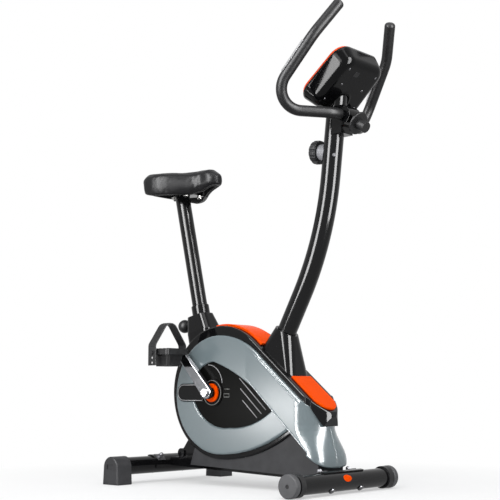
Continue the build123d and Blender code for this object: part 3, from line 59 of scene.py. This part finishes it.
class Paint:
    """One procedural material: a principled shader fed by noise in the object's own space."""

    def __init__(self, name):
        self.material = bpy.data.materials.new(name)
        self.material.use_nodes = True
        self.tree = self.material.node_tree
        self.shader = self.tree.nodes["Principled BSDF"]
        self.space = self.node("ShaderNodeTexCoord").outputs["Object"]

    def node(self, kind, **values):
        made = self.tree.nodes.new(kind)
        for key, value in values.items():
            setattr(made, key, value)
        return made

    def link(self, source, target):
        self.tree.links.new(source, target)

    def set(self, **values):
        for key, value in values.items():
            self.shader.inputs[key.replace("_", " ")].default_value = value

    def noise(self, scale, detail=3.0, stretch=None):
        made = self.node("ShaderNodeTexNoise")
        made.inputs["Scale"].default_value = scale
        made.inputs["Detail"].default_value = detail
        place = self.space
        if stretch:
            mapping = self.node("ShaderNodeMapping")
            mapping.inputs["Scale"].default_value = stretch
            self.link(place, mapping.inputs["Vector"])
            place = mapping.outputs["Vector"]
        self.link(place, made.inputs["Vector"])
        return made.outputs["Fac"]

    def cells(self, scale, feature="F1"):
        made = self.node("ShaderNodeTexVoronoi", feature=feature)
        made.inputs["Scale"].default_value = scale
        self.link(self.space, made.inputs["Vector"])
        return made.outputs["Distance"]

    def along(self, direction):
        """Distance along a direction."""
        made = self.node("ShaderNodeVectorMath", operation="DOT_PRODUCT")
        made.inputs[1].default_value = direction
        self.link(self.space, made.inputs[0])
        return made.outputs["Value"]

    def ramp(self, source, low, high, start=0.35, end=0.65):
        made = self.node("ShaderNodeMapRange")
        made.inputs["From Min"].default_value = start
        made.inputs["From Max"].default_value = end
        made.inputs["To Min"].default_value = low
        made.inputs["To Max"].default_value = high
        self.link(source, made.inputs["Value"])
        return made.outputs["Result"]

    def mix(self, share, dark, light):
        made = self.node("ShaderNodeMix", data_type="RGBA")
        self.link(share, made.inputs["Factor"])
        for spot, colour in ((6, dark), (7, light)):
            if isinstance(colour, tuple):
                made.inputs[spot].default_value = (*colour, 1)
            else:
                self.link(colour, made.inputs[spot])
        return made.outputs[2]

    def mottle(self, source, colour, spread):
        """Colour that varies by a share to either side."""
        return self.mix(self.ramp(source, 0.0, 1.0), tint(colour, 1 - spread), tint(colour, 1 + spread))

    def colour(self, source):
        self.link(source, self.shader.inputs["Base Color"])

    def rough(self, source, low, high):
        self.link(self.ramp(source, low, high), self.shader.inputs["Roughness"])

    def bump(self, source, depth, strength=1.0, under=None):
        made = self.node("ShaderNodeBump")
        made.inputs["Distance"].default_value = depth
        made.inputs["Strength"].default_value = strength
        self.link(source, made.inputs["Height"])
        if under:
            self.link(under, made.inputs["Normal"])
        self.link(made.outputs["Normal"], self.shader.inputs["Normal"])
        return made.outputs["Normal"]


def tint(colour, share):
    return tuple(min(1.0, part * share) for part in colour)


def gloss(name, colour, rough, specular, spread=0.05, round_by=0.0):
    """Moulded or lacquered gloss: faint flow marks, orange peel, fine dust, softened edges."""
    paint = Paint(name)
    paint.set(Specular_IOR_Level=specular)
    paint.colour(paint.mottle(paint.noise(9.0, 3.0), colour, spread))
    paint.rough(paint.noise(400.0, 4.0), rough * 0.92, rough * 1.1)
    soft = None
    if round_by:
        soft_edge = paint.node("ShaderNodeBevel", samples=16)
        soft_edge.inputs["Radius"].default_value = round_by
        soft = soft_edge.outputs["Normal"]
    paint.bump(paint.noise(45.0, 2.0), 0.000006, 0.2, soft)
    return paint


def grained(name, colour, rough=0.5, grain=1500.0, depth=0.00006, specular=0.3):
    """Moulded plastic with a spark-eroded grain."""
    paint = Paint(name)
    paint.set(Specular_IOR_Level=specular)
    paint.colour(paint.mottle(paint.noise(25.0, 5.0), colour, 0.14))
    paint.rough(paint.noise(90.0, 5.0), rough * 0.88, rough * 1.14)
    fine = paint.bump(paint.noise(grain, 2.0), depth, 0.8)
    paint.bump(paint.noise(35.0, 3.0), 0.00015, 0.2, fine)
    return paint


def metal(name, colour, rough, brush=None):
    """Plated or bright metal with fine drawn marks."""
    paint = Paint(name)
    paint.set(Metallic=1.0)
    paint.colour(paint.mottle(paint.noise(40.0, 4.0), colour, 0.08))
    paint.rough(paint.noise(180.0, 5.0, brush), rough * 0.7, rough * 1.4)
    paint.bump(paint.noise(700.0, 2.0, brush), 0.00001, 0.4)
    return paint


def foam_skin(name, colour):
    """Closed-cell foam: tiny pores and a soft sheen."""
    paint = Paint(name)
    paint.set(Specular_IOR_Level=0.15, Sheen_Weight=0.03, Sheen_Roughness=0.4)
    paint.colour(paint.mottle(paint.noise(300.0, 6.0), colour, 0.22))
    paint.rough(paint.noise(120.0, 4.0), 0.38, 0.46)
    pores = paint.bump(paint.cells(1100.0), 0.00002, 0.15)
    paint.bump(paint.noise(45.0, 3.0), 0.0002, 0.1, pores)
    return paint


def vinyl_skin(name, colour):
    """Grained vinyl: small cells between fine creases."""
    paint = Paint(name)
    paint.set(Specular_IOR_Level=0.13)
    paint.colour(paint.mottle(paint.noise(35.0, 5.0), colour, 0.12))
    paint.rough(paint.noise(300.0, 4.0), 0.36, 0.42)
    cells = paint.bump(paint.cells(620.0, "DISTANCE_TO_EDGE"), 0.00003, 0.15)
    paint.bump(paint.noise(900.0, 3.0), 0.000015, 0.2, cells)
    return paint


def glass_skin(name, colour):
    """Tinted window over a display."""
    paint = Paint(name)
    paint.set(Transmission_Weight=0.3, IOR=1.46)
    paint.colour(paint.mottle(paint.noise(20.0), colour, 0.12))
    paint.rough(paint.noise(150.0, 4.0), 0.02, 0.06)
    return paint


orange = (0.95, 0.08, 0.0)
finish = {
    "frame_paint": gloss("frame_paint", (0.0055, 0.0055, 0.006), 0.12, 0.17),
    "chrome": metal("chrome", (0.2, 0.205, 0.215), 0.1),
    "zinc": metal("zinc", (0.6, 0.59, 0.57), 0.26),
    "black_gloss": gloss("black_gloss", (0.0045, 0.0045, 0.005), 0.08, 0.15, round_by=0.0015),
    "black_plastic": grained("black_plastic", (0.0105, 0.0105, 0.0115), 0.42, specular=0.16),
    "charcoal_plastic": grained("charcoal_plastic", (0.034, 0.034, 0.037), 0.46, specular=0.13),
    "grey_gloss": gloss("grey_gloss", (0.165, 0.205, 0.218), 0.2, 0.42, spread=0.012, round_by=0.005),
    "orange_gloss": gloss("orange_gloss", orange, 0.25, 0.012, spread=0.02),
    "light_grey_plastic": grained("light_grey_plastic", (0.3, 0.3, 0.32), 0.42),
    "foam": foam_skin("foam", (0.0085, 0.0085, 0.0095)),
    "rubber": grained("rubber", (0.012, 0.012, 0.013), 0.46, grain=2200.0, depth=0.00004, specular=0.15),
    "vinyl": vinyl_skin("vinyl", (0.0045, 0.0045, 0.0055)),
    "lens": glass_skin("lens", (0.03, 0.045, 0.045)),
    "cast_iron": metal("cast_iron", (0.22, 0.22, 0.22), 0.42, brush=(1, 40, 1)),
    "steel": metal("steel", (0.5, 0.5, 0.51), 0.24, brush=(1, 30, 1)),
}
dark_zinc = metal("dark_zinc", (0.09, 0.09, 0.095), 0.34)
wheel_grey = grained("wheel_grey", (0.08, 0.08, 0.084), 0.5, specular=0.15)
pale_print = grained("pale_print", (0.42, 0.42, 0.43), 0.5)
# Pale grey gloss for the painted highlight along the sweep's crease
crease_highlight_paint = gloss("crease_highlight_paint", (0.5, 0.54, 0.56), 0.12, 0.5)
line_print = grained("line_print", (0.17, 0.17, 0.16), 0.5)

# Console bezel: orange up its slanted border, graphite on the face
console_x, console_z = 333, 1114
tilt = radians(40.7)
border_top, border_fade = 0.0076, 0.0006
face_up = Vector((-sin(tilt), 0, cos(tilt)))
face_along = Vector((cos(tilt), 0, sin(tilt)))
border_end = at(console_x, 0, console_z).dot(face_up) + border_top
bezel = gloss("bezel", orange, 0.25, 0.03)
bezel_share = bezel.ramp(bezel.along(face_up), 0.0, 1.0, border_end, border_end + border_fade)
bezel_orange = bezel.mottle(bezel.noise(9.0, 3.0), orange, 0.03)
bezel_face = bezel.mottle(bezel.noise(25.0, 5.0), (0.022, 0.022, 0.025), 0.15)
bezel.colour(bezel.mix(bezel_share, bezel_orange, bezel_face))

# Nodes with a finish other than their slot's
hub_black = gloss("hub_black", (0.0048, 0.0048, 0.0044), 0.25, 0.02)
dial_black = grained("dial_black", (0.015, 0.015, 0.017), 0.44, specular=0.16)
console_black = gloss("console_black", (0.004, 0.004, 0.0045), 0.1, 0.09, round_by=0.009)
own_finish = {
    "hub_panel_right": hub_black,
    "hub_panel_left": hub_black,
    "mast_screws": dark_zinc,
    "seat_bush": finish["black_gloss"],
    "stabiliser_nuts": dark_zinc,
    "stabiliser_bolts": dark_zinc,
    "transport_wheel_right": wheel_grey,
    "transport_wheel_left": wheel_grey,
    "console_front": bezel,
    "console_back": console_black,
    "tension_knob": dial_black,
}
slot_of = {part["node"]: part["material_slot"] for part in frame["record"]["subparts"]}
for name, thing in nodes.items():
    thing.data.materials.clear()
    thing.data.materials.append(own_finish.get(name, finish[slot_of[name]]).material)


# Mesh helpers


def piece(name, mesh, slot, body, *replaced, paint=None):
    """A finished piece that rides on a body and takes its look from a slot."""
    thing = bpy.data.objects.new(name, mesh)
    scene.collection.objects.link(thing)
    mesh.materials.clear()
    mesh.materials.append((paint or finish[slot]).material)
    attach(thing, body)
    if replaced:
        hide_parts(*replaced)
    return thing


def skin(name, rings, loop=False, smooth=True):
    """Mesh through rings of points, with its ends closed or joined."""
    shape = bmesh.new()
    rows = [[shape.verts.new(point) for point in ring] for ring in rings]
    count = len(rows[0])
    for a, b in zip(rows, rows[1:] + rows[:1] if loop else rows[1:]):
        for i in range(count):
            j = (i + 1) % count
            shape.faces.new((a[i], a[j], b[j], b[i]))
    if not loop:
        shape.faces.new(list(reversed(rows[0])))
        shape.faces.new(rows[-1])
    bmesh.ops.recalc_face_normals(shape, faces=shape.faces)
    mesh = bpy.data.meshes.new(name)
    shape.to_mesh(mesh)
    shape.free()
    for face in mesh.polygons:
        face.use_smooth = smooth
    return mesh


def settle(thing):
    """Applies a piece's modifiers to its mesh."""
    bpy.context.view_layer.update()
    view = bpy.context.evaluated_depsgraph_get()
    mesh = bpy.data.meshes.new_from_object(thing.evaluated_get(view))
    thing.modifiers.clear()
    thing.data = mesh


def route(points, radii, step):
    """Places along straight runs joined by arcs of the given radii."""
    points = [Vector(p) for p in points]
    spots = []

    def run(a, b):
        count = max(1, round((b - a).length / step))
        spots.extend(a.lerp(b, i / count) for i in range(count))

    here = points[0]
    for before, corner, after, radius in zip(points, points[1:], points[2:], radii):
        inward = (corner - before).normalized()
        outward = (after - corner).normalized()
        turn = inward.angle(outward)
        reach = radius * tan(turn / 2)
        start = corner - inward * reach
        run(here, start)
        side = (outward - inward * inward.dot(outward)).normalized()
        centre = start + side * radius
        count = max(3, round(radius * turn / step))
        for i in range(count):
            angle = turn * i / count
            spots.append(centre - side * radius * cos(angle) + inward * radius * sin(angle))
        here = corner + outward * reach
    run(here, points[-1])
    return spots + [points[-1]]


def ways_of(spots):
    """Direction of a route at each of its places."""
    last = len(spots) - 1
    return [(spots[min(i + 1, last)] - spots[max(i - 1, 0)]).normalized() for i in range(last + 1)]


# Saddle cover: the cushion's form, remeshed, blown up a little, filled out and gathered at the hem

# Places and lengths in the part's drawing, in millimetres
hem_base_z, hem_nose_lift, hem_tail_lift = 851, 26, 14
rear_x, lobe_x, waist_x, nose_x = -375, -305, -217, -121
fill_x, fill_run = -300, 55
# Heights over the hem and reach of its puckers, in metres
held_to, crown = 0.004, 0.042
pucker_middle, pucker_above, pucker_below = 0.003, 0.011, 0.006
pucker_grain = Vector((95, 95, 22))


def ease(t):
    """Smooth step from 0 to 1."""
    t = min(max(t, 0.0), 1.0)
    return t * t * (3 - 2 * t)


def hem_z(x):
    """Height of the cushion's lower edge in the drawing."""
    nose = ease((x - waist_x) / (nose_x - waist_x))
    tail = ease((lobe_x - x) / (lobe_x - rear_x))
    return hem_base_z + hem_nose_lift * nose + hem_tail_lift * tail


def over_hem(co):
    """Height of a point over the cushion's lower edge, in metres."""
    return co.z - hem_z(co.x * 1000 - shift) / 1000


def iron(thing, rounds):
    """Smooths a cover and applies this and its other modifiers."""
    smooth = thing.modifiers.new("ironed", "SMOOTH")
    smooth.factor = 0.5
    smooth.iterations = rounds
    settle(thing)


def puff(thing, pressure, reach):
    """Blows a closed cover up from inside, with its hem held."""
    start = [spot.co.copy() for spot in thing.data.vertices]
    held = thing.vertex_groups.new(name="held")
    held.add([i for i, co in enumerate(start) if over_hem(co) < held_to], 1.0, "REPLACE")
    cloth = thing.modifiers.new("cloth", "CLOTH").settings
    cloth.use_pressure = True
    cloth.uniform_pressure_force = pressure
    cloth.effector_weights.gravity = 0
    cloth.vertex_group_mass = "held"
    for moment in range(1, 21):
        scene.frame_set(moment)
    settle(thing)
    for spot, home in zip(thing.data.vertices, start):
        move = spot.co - home
        if move.length > reach:
            spot.co = home + move * (reach / move.length)
    scene.frame_set(1)


def fill_out(mesh, lift, reach):
    """Lifts the tail's top and draws the upper edges out, as over firm foam with a cut edge."""
    for spot in mesh.vertices:
        normal = spot.normal.copy()
        tail = ease((fill_x - spot.co.x * 1000 + shift) / fill_run)
        rise = lift * tail * ease(over_hem(spot.co) / crown)
        flat = Vector((normal.x, normal.y)).length
        edge = reach * (2 * flat * normal.z) ** 2 if normal.z > 0 else 0.0
        spot.co += normal * edge + Vector((0, 0, rise))


def gather(mesh, depth):
    """Small puckers where the cover is pulled round the lower edge."""
    for spot in mesh.vertices:
        rise = over_hem(spot.co) - pucker_middle
        share = exp(-((rise / pucker_above) ** 2)) if rise > 0 else 1 / (1 + (rise / pucker_below) ** 2)
        flat = Vector((spot.normal.x, spot.normal.y, 0))
        spot.co += flat * share * depth * noise.noise(spot.co * pucker_grain)


cover = piece("saddle_cover", nodes["saddle_cushion"].data.copy(), "vinyl", "seat", "saddle_cushion")
remesh = cover.modifiers.new("remesh", "REMESH")
remesh.mode = "VOXEL"
remesh.voxel_size = 0.0042
iron(cover, 3)
puff(cover, pressure=4.0, reach=0.0035)
fill_out(cover.data, lift=0.011, reach=0.0055)
iron(cover, 6)
gather(cover.data, depth=0.0011)
cover.modifiers.new("rounded", "SUBSURF").levels = 1
settle(cover)
for face in cover.data.polygons:
    face.use_smooth = True

# Foam grips along the bar's middle line, drawn for the left side, with the radii of its bends in metres

bar = [(352, 33, 1003), (352, 56, 1003), (238, 213, 1004), (371, 166, 1190), (420.5, 114.5, 1280)]
bar_bends = [0.055, 0.06, 0.15]
grip_r = 0.015
grip_lip = 0.0012
grip_end_round = 0.009
grip_sides, grip_end_steps = 32, 8


def foam_grip(name, side, node):
    """Foam sleeve along the bar, rounded over its end."""
    spots = route([at(x, side * y, z) for x, y, z in bar], bar_bends, 0.005)
    ways = ways_of(spots)
    stations = [(spot, way, grip_r) for spot, way in zip(spots[:-2], ways)]
    stations[0] = (spots[0], ways[0], grip_r - grip_lip)
    stations.insert(1, (spots[0] + ways[0] * grip_lip, ways[0], grip_r))
    for i in range(grip_end_steps + 1):
        turn = pi / 2 * i / grip_end_steps
        inset = grip_end_round * (1 - cos(turn))
        stations.append((spots[-1] - ways[-1] * grip_end_round * (1 - sin(turn)), ways[-1], grip_r - inset))
    up = Vector((0, 0, 1))
    rings = []
    for spot, way, radius in stations:
        up = (up - way * up.dot(way)).normalized()
        over = way.cross(up)
        turns = [2 * pi * k / grip_sides for k in range(grip_sides)]
        rings.append([spot + (up * cos(turn) + over * sin(turn)) * radius for turn in turns])
    return piece(name, skin(name, rings), "foam", "handlebar_unit", node)


foam_grip("foam_grip_right", -1, "grip_right")
foam_grip("foam_grip_left", 1, "grip_left")

# Pedal straps: moulded rubber with ribs over the foot and holes in the tail

pedal_top = 14
strap_inner, strap_outer = 97.2, 193.5
strap_skew = 12
strap_tail, strap_side, strap_rise, strap_root = 47, 12, 92, 5
strap_bend, strap_step = 20, 1.25
rib_height, rib_from = 0.7, 6
hole_r, hole_first, hole_pitch, hole_count = 0.0035, 8, 14, 3
# Outline of the strap's section without its ribs, across and out from its middle
strap_edge = [
    (14.4, 1.5), (15, 0.9), (15, -0.9), (14.4, -1.5),
    (-14.4, -1.5), (-15, -0.9), (-15, 0.9), (-14.4, 1.5),
]


def strap(hand, side):
    """Strap over one pedal, placed by the pedal's axle."""
    name = f"pedal_strap_{hand}"
    axle = joints[f"pedal_{hand}_spin"]["pos_m"]
    x = axle[0] * 1000 - shift
    top = axle[2] * 1000 + pedal_top
    inner, outer = strap_inner, strap_outer
    middle = (inner + outer) / 2
    lean = 2 * strap_skew / (inner - outer)
    profile = [
        (outer, top - strap_tail),
        (outer, top + strap_side),
        (middle, top + strap_rise),
        (inner, top + strap_side),
        (inner, top - strap_root),
    ]
    spots = route([(0, y, z) for y, z in profile], [strap_bend] * 3, strap_step)
    wide = Vector((1, 0, 0))
    rings = []
    for i, (spot, way) in enumerate(zip(spots, ways_of(spots))):
        out = way.cross(wide).normalized()
        rib = rib_height if spot.z > top + rib_from and i % 4 < 2 else 0.0
        rib_edge = [(-11.5, 1.5), (-11, 1.5 + rib), (11, 1.5 + rib), (11.5, 1.5)]
        ring = []
        for across, deep in strap_edge + rib_edge:
            edge = spot + wide * across + out * deep
            ring.append(at(x + edge.x + lean * (edge.y - middle), side * edge.y, edge.z))
        rings.append(ring)
    mesh = skin(name, rings, smooth=False)
    thing = piece(name, mesh, "rubber", f"pedal_{hand}_unit", f"strap_{hand}")
    holes = bmesh.new()
    for row in range(hole_count):
        hole_z = top - strap_tail + hole_first + hole_pitch * row
        hole = bmesh.ops.create_cone(
            holes, cap_ends=True, segments=24, radius1=hole_r, radius2=hole_r, depth=0.02
        )
        for spot in hole["verts"]:
            spot.co = at(x - strap_skew, side * outer, hole_z) + Vector((spot.co.x, spot.co.z, spot.co.y))
    bmesh.ops.recalc_face_normals(holes, faces=holes.faces)
    cutter_mesh = bpy.data.meshes.new("holes")
    holes.to_mesh(cutter_mesh)
    holes.free()
    cutter = bpy.data.objects.new("holes", cutter_mesh)
    scene.collection.objects.link(cutter)
    cut = thing.modifiers.new("holes", "BOOLEAN")
    cut.object = cutter
    cut.solver = "EXACT"
    settle(thing)
    bpy.data.objects.remove(cutter)
    return thing


strap("right", -1)
strap("left", 1)

# Printed and moulded lines on the covers, and a painted highlight along the sweep's crease

hub_y, plaque_y = -64, -70
crank_x, crank_z = -86, 260
sweep_fall = tan(radians(41.4))


def side_line(name, points, width, depth, paint, loop=False):
    """Thin line on both side covers, through points of the right one."""
    for side, hand in ((1, "right"), (-1, "left")):
        spots = [Vector((x, side * y, z)) for x, y, z in points]
        ways = ways_of(spots)
        if loop:
            ways = [(b - a).normalized() for a, b in zip(spots[-1:] + spots[:-1], spots[1:] + spots[:1])]
        rings = []
        for spot, way in zip(spots, ways):
            over = Vector((-way.z, 0, way.x)) * width / 2
            ring = []
            for share, out in ((1, -1), (1, 0.6), (0.6, 1), (-0.6, 1), (-1, 0.6), (-1, -1)):
                edge = spot + over * share
                ring.append(at(edge.x, edge.y - side * out * depth, edge.z))
            rings.append(ring)
        piece(f"{name}_{hand}", skin(name, rings, loop), "light_grey_plastic", "frame", paint=paint)


def arc(x, y, z, radius, start, end, count=24):
    """Points along an arc in x and z, angles in degrees from forward."""
    turns = [radians(start + (end - start) * i / count) for i in range(count + 1)]
    return [(x + radius * cos(turn), y, z + radius * sin(turn)) for turn in turns]


pill_x, pill_end_x, pill_r = -122, -198, 22
pill = [
    (pill_x, plaque_y, crank_z + pill_r),
    *arc(pill_end_x, plaque_y, crank_z, pill_r, 90, 270),
    (pill_x, plaque_y, crank_z - pill_r),
]
side_line("plaque_border", pill, width=1.5, depth=0.15, paint=pale_print)
side_line("hub_arc", arc(-104, hub_y, 284, 55, 90, 3), width=1.8, depth=0.2, paint=pale_print)
mark_top = [(-42, hub_y, 270.4), (-20, hub_y, 270.4)]
side_line("hub_mark_top", mark_top, width=1.6, depth=0.2, paint=line_print)
mark_box = [(-42, hub_y, 257), (-22, hub_y, 257), (-22, hub_y, 248), (-42, hub_y, 248)]
side_line("hub_mark_box", mark_box, width=1.6, depth=0.2, paint=line_print, loop=True)
stripe_x, stripe_z, stripe_step, stripe_pitch = 88, 238, 9.4, 17
for row, ends in enumerate(((17.7, 115.3), (21.5, 99.1), (29, 82.7))):
    row_x = stripe_x - stripe_step * row
    row_z = stripe_z - stripe_pitch * row
    stripe = [(x, hub_y, row_z - sweep_fall * (x - row_x)) for x in ends]
    side_line(f"hub_stripe_{row + 1}", stripe, width=2.0, depth=1.3, paint=pale_print)
collar = arc(crank_x, hub_y - 3, crank_z, 34.5, 0, 360, 64)[:-1]
side_line("collar_ring", collar, width=1.8, depth=0.5, paint=line_print, loop=True)
# Pale line along the sweep's crease: a painted highlight where the crease's edge catches the light
crease_x, crease_y, crease_z, crease_run, crease_bulge, crease_steps = 44, -68, 300, 218, 6, 30
crease = []
for i in range(crease_steps + 1):
    share = i / crease_steps
    along = crease_run * share
    crease.append((crease_x + along, crease_y - crease_bulge * share, crease_z - sweep_fall * along))
side_line("sweep_crease_highlight", crease, width=2.2, depth=0.8, paint=crease_highlight_paint)

# Screws and port on the console's back

# Radius and height of a screw's head from its rim inwards, and its cross, in millimetres
pan_head = [(3.4, -0.6), (3.4, 0.3), (3.0, 0.9), (1.8, 1.2), (0.6, 1.25)]
cross_reach, cross_half, cross_top, cross_deep = 2.2, 0.45, 1.33, 0.4


def console_back(y, v, depth=50.0):
    """Point on the flat of the console's back, y across and v up the face."""
    return at(console_x, y, console_z) + face_along * v / 1000 - face_up * depth / 1000


def screws(name, spots, axis):
    """Pan heads in one mesh, each with a cross on it."""
    shape = bmesh.new()
    one = axis.orthogonal().normalized()
    two = axis.cross(one)
    count = 24
    turns = [2 * pi * k / count for k in range(count)]
    for spot in spots:
        rows = []
        for radius, height in pan_head:
            places = [spot + ((one * cos(t) + two * sin(t)) * radius + axis * height) / 1000 for t in turns]
            rows.append([shape.verts.new(place) for place in places])
        for a, b in zip(rows, rows[1:]):
            for i in range(count):
                j = (i + 1) % count
                shape.faces.new((a[i], a[j], b[j], b[i]))
        shape.faces.new(rows[0])
        shape.faces.new(rows[-1])
        for arm, wing in ((one, two), (two, one)):
            corners = ((-1, -1), (1, -1), (1, 1), (-1, 1))
            flat = [arm * (cross_reach * a) + wing * (cross_half * b) for a, b in corners]
            places = [spot + (corner + axis * cross_top) / 1000 for corner in flat]
            low_row = [shape.verts.new(place - axis * cross_deep / 1000) for place in places]
            high_row = [shape.verts.new(place) for place in places]
            shape.faces.new(high_row)
            shape.faces.new(low_row)
            for i in range(4):
                j = (i + 1) % 4
                shape.faces.new((low_row[i], low_row[j], high_row[j], high_row[i]))
    bmesh.ops.recalc_face_normals(shape, faces=shape.faces)
    mesh = bpy.data.meshes.new(name)
    shape.to_mesh(mesh)
    shape.free()
    return piece(name, mesh, "zinc", "frame", paint=dark_zinc)


screw_spots = [console_back(side * y, v) for y, v in ((66, -50), (58, 54), (45, 6)) for side in (-1, 1)]
screws("console_screws", screw_spots, -face_up)


def block(name, centre, across, along, out, size, round_by, slot, body):
    """Small plate with rounded corners and edges."""
    rows = []
    wide, tall, deep = (part / 2000 for part in size)
    for inset, height in ((0.0, -1.0), (0.0, 0.5), (0.25, 0.85), (0.7, 1.0)):
        ring = []
        for k, (sx, sy) in enumerate(((1, 1), (-1, 1), (-1, -1), (1, -1))):
            for i in range(6):
                turn = pi / 2 * (k + i / 5)
                bend = round_by / 1000
                x = sx * (wide - bend) + cos(turn) * (bend - inset * deep)
                y = sy * (tall - bend) + sin(turn) * (bend - inset * deep)
                ring.append(centre + across * x + along * y + out * height * deep)
        rows.append(ring)
    return piece(name, skin(name, rows, smooth=False), slot, body)


across = Vector((0, 1, 0))
port_spot = console_back(-20, 46)
port_size = (19, 15, 1.2)
block("console_port", port_spot, across, face_along, -face_up, port_size, 2.0, "black_plastic", "frame")

# Bare oval badge on the front stabiliser


def oval_badge(name, x, y, z, tube, half_wide, half_tall, middle):
    """Thin oval lying on a tube across the bike, with a soft edge."""
    rings = []
    for share, out in ((1.0, -0.2), (1.0, 0.12), (0.97, 0.22), (0.6, 0.25), (0.2, 0.25)):
        ring = []
        for i in range(48):
            turn = 2 * pi * i / 48
            angle = radians(middle) + half_tall * share * sin(turn) / tube
            radius = tube + out
            away = half_wide * share * cos(turn)
            ring.append(at(x + radius * cos(angle), y + away, z + radius * sin(angle)))
        rings.append(ring)
    return piece(name, skin(name, rings), "orange_gloss", "frame")


oval_badge("front_badge", 320, -2, 30.5, tube=25, half_wide=17, half_tall=9.5, middle=24)

# Scale on the tension dial: plain numbers

dial_out = Vector(joints["tension_turn"]["axis"])
dial_side = Vector((0, -1, 0))
dial_up = dial_out.cross(dial_side)
dial_height = 0.0613
dial_middle = Vector(joints["tension_turn"]["pos_m"]) + dial_out * dial_height
number_r = 0.0195
number_step = 38


def dial_mark(name, text, turn):
    """One number of the scale, standing on the knob's face."""
    curve = bpy.data.curves.new(name, "FONT")
    curve.body = text
    curve.size = 0.0075
    curve.extrude = 0.00015
    curve.align_x = "CENTER"
    curve.align_y = "CENTER"
    letter = bpy.data.objects.new(name, curve)
    scene.collection.objects.link(letter)
    bpy.context.view_layer.update()
    mesh = bpy.data.meshes.new_from_object(letter.evaluated_get(bpy.context.evaluated_depsgraph_get()))
    bpy.data.objects.remove(letter)
    away = dial_side * sin(turn) + dial_up * cos(turn)
    over = dial_side * cos(turn) - dial_up * sin(turn)
    for spot in mesh.vertices:
        flat = over * spot.co.x + away * (spot.co.y + number_r)
        spot.co = dial_middle + flat + dial_out * (spot.co.z + 0.0001)
    return piece(name, mesh, "light_grey_plastic", "tension_dial", paint=pale_print)


for number in range(1, 9):
    dial_mark(f"dial_{number}", str(number), radians(number_step * (number - 4.5)))

# Studio

azimuth, pitch = radians(41.8), radians(7.4)
look = Vector((-sin(azimuth) * cos(pitch), cos(azimuth) * cos(pitch), sin(pitch)))
camera = bpy.data.objects.new("camera", bpy.data.cameras.new("camera"))
scene.collection.objects.link(camera)
camera.location = at(2060.3, -2304.6, 267.2)
camera.rotation_euler = look.to_track_quat("-Z", "Y").to_euler()
camera.data.lens = 77.7
camera.data.sensor_width = 36
scene.camera = camera


def white_to_view(tree, lit, white):
    """Shader that is white to the camera, in reflections and through glass, and lit to all other light."""
    path = tree.nodes.new("ShaderNodeLightPath")
    seen = path.outputs["Is Camera Ray"]
    for other in ("Is Glossy Ray", "Is Transmission Ray"):
        either = tree.nodes.new("ShaderNodeMath")
        either.operation = "MAXIMUM"
        tree.links.new(seen, either.inputs[0])
        tree.links.new(path.outputs[other], either.inputs[1])
        seen = either.outputs[0]
    mix = tree.nodes.new("ShaderNodeMixShader")
    tree.links.new(seen, mix.inputs[0])
    tree.links.new(lit, mix.inputs[1])
    tree.links.new(white, mix.inputs[2])
    return mix.outputs[0]


world = bpy.data.worlds.new("studio")
world.use_nodes = True
scene.world = world
tree = world.node_tree
lit = tree.nodes["Background"]
lit.inputs["Color"].default_value = (0.96, 0.98, 1.0, 1)
lit.inputs["Strength"].default_value = 0.6
white = tree.nodes.new("ShaderNodeBackground")
white.inputs["Color"].default_value = (1, 1, 1, 1)
white.inputs["Strength"].default_value = 1.0
sky = white_to_view(tree, lit.outputs[0], white.outputs[0])
tree.links.new(sky, tree.nodes["World Output"].inputs["Surface"])

# Floor: pale paper that takes the shadow near the bike and turns plain white further out
floor_mesh = bpy.data.meshes.new("floor")
floor_mesh.from_pydata([(-9, -9, 0), (9, -9, 0), (9, 9, 0), (-9, 9, 0)], [], [(0, 1, 2, 3)])
floor = bpy.data.objects.new("floor", floor_mesh)
scene.collection.objects.link(floor)
floor.location.z = -0.0004
paper = Paint("paper")
paper.set(Roughness=0.9, Specular_IOR_Level=0.05)
paper.colour(paper.mottle(paper.noise(6.0), (0.86, 0.86, 0.86), 0.01))
away = paper.node("ShaderNodeVectorMath", operation="LENGTH")
paper.link(paper.space, away.inputs[0])
glow = paper.node("ShaderNodeEmission")
fade = paper.node("ShaderNodeMixShader")
paper.link(paper.ramp(away.outputs["Value"], low=0.45, high=1.0, start=0.35, end=1.2), fade.inputs[0])
paper.link(paper.shader.outputs[0], fade.inputs[1])
paper.link(glow.outputs[0], fade.inputs[2])
sheet = white_to_view(paper.tree, paper.shader.outputs[0], fade.outputs[0])
paper.link(sheet, paper.tree.nodes["Material Output"].inputs["Surface"])
floor_mesh.materials.append(paper.material)


def softbox(name, place, aim, width, tall, power, roll=0.0, gloss_only=False):
    """Area lamp turned to a point; a card shows in gloss alone."""
    lamp = bpy.data.objects.new(name, bpy.data.lights.new(name, "AREA"))
    scene.collection.objects.link(lamp)
    lamp.data.shape = "RECTANGLE"
    lamp.data.size = width
    lamp.data.size_y = tall
    lamp.data.energy = power
    lamp.location = place
    turn = (Vector(aim) - lamp.location).to_track_quat("-Z", "Y")
    lamp.rotation_euler = turn.to_euler()
    lamp.rotation_euler.rotate_axis("Z", radians(roll))
    lamp.visible_camera = False
    lamp.visible_diffuse = not gloss_only


def round_bike(bearing, distance, height):
    """Place at a bearing in degrees from the camera's own, counter-clockwise from above."""
    angle = azimuth + radians(bearing)
    return Vector((sin(angle) * distance, -cos(angle) * distance, height))


softbox("key", round_bike(-30, 2.4, 1.9), (0, 0, 0.6), width=0.9, tall=0.9, power=28)
softbox("overhead", round_bike(10, 0.9, 3.0), (0, 0, 0.5), width=1.6, tall=1.6, power=35)
for name, bearing in (("card_left", -46), ("card_right", 46)):
    place = round_bike(bearing, 2.6, 1.7)
    softbox(name, place, (0, 0, 1.5), width=1.1, tall=3.3, power=460, gloss_only=True)
low_place, sweep_spot = at(-1540, -1985, 165), at(220, -72, 210)
softbox("card_low", low_place, sweep_spot, width=0.32, tall=0.11, power=6, roll=-33, gloss_only=True)

scene.view_settings.view_transform = "Standard"
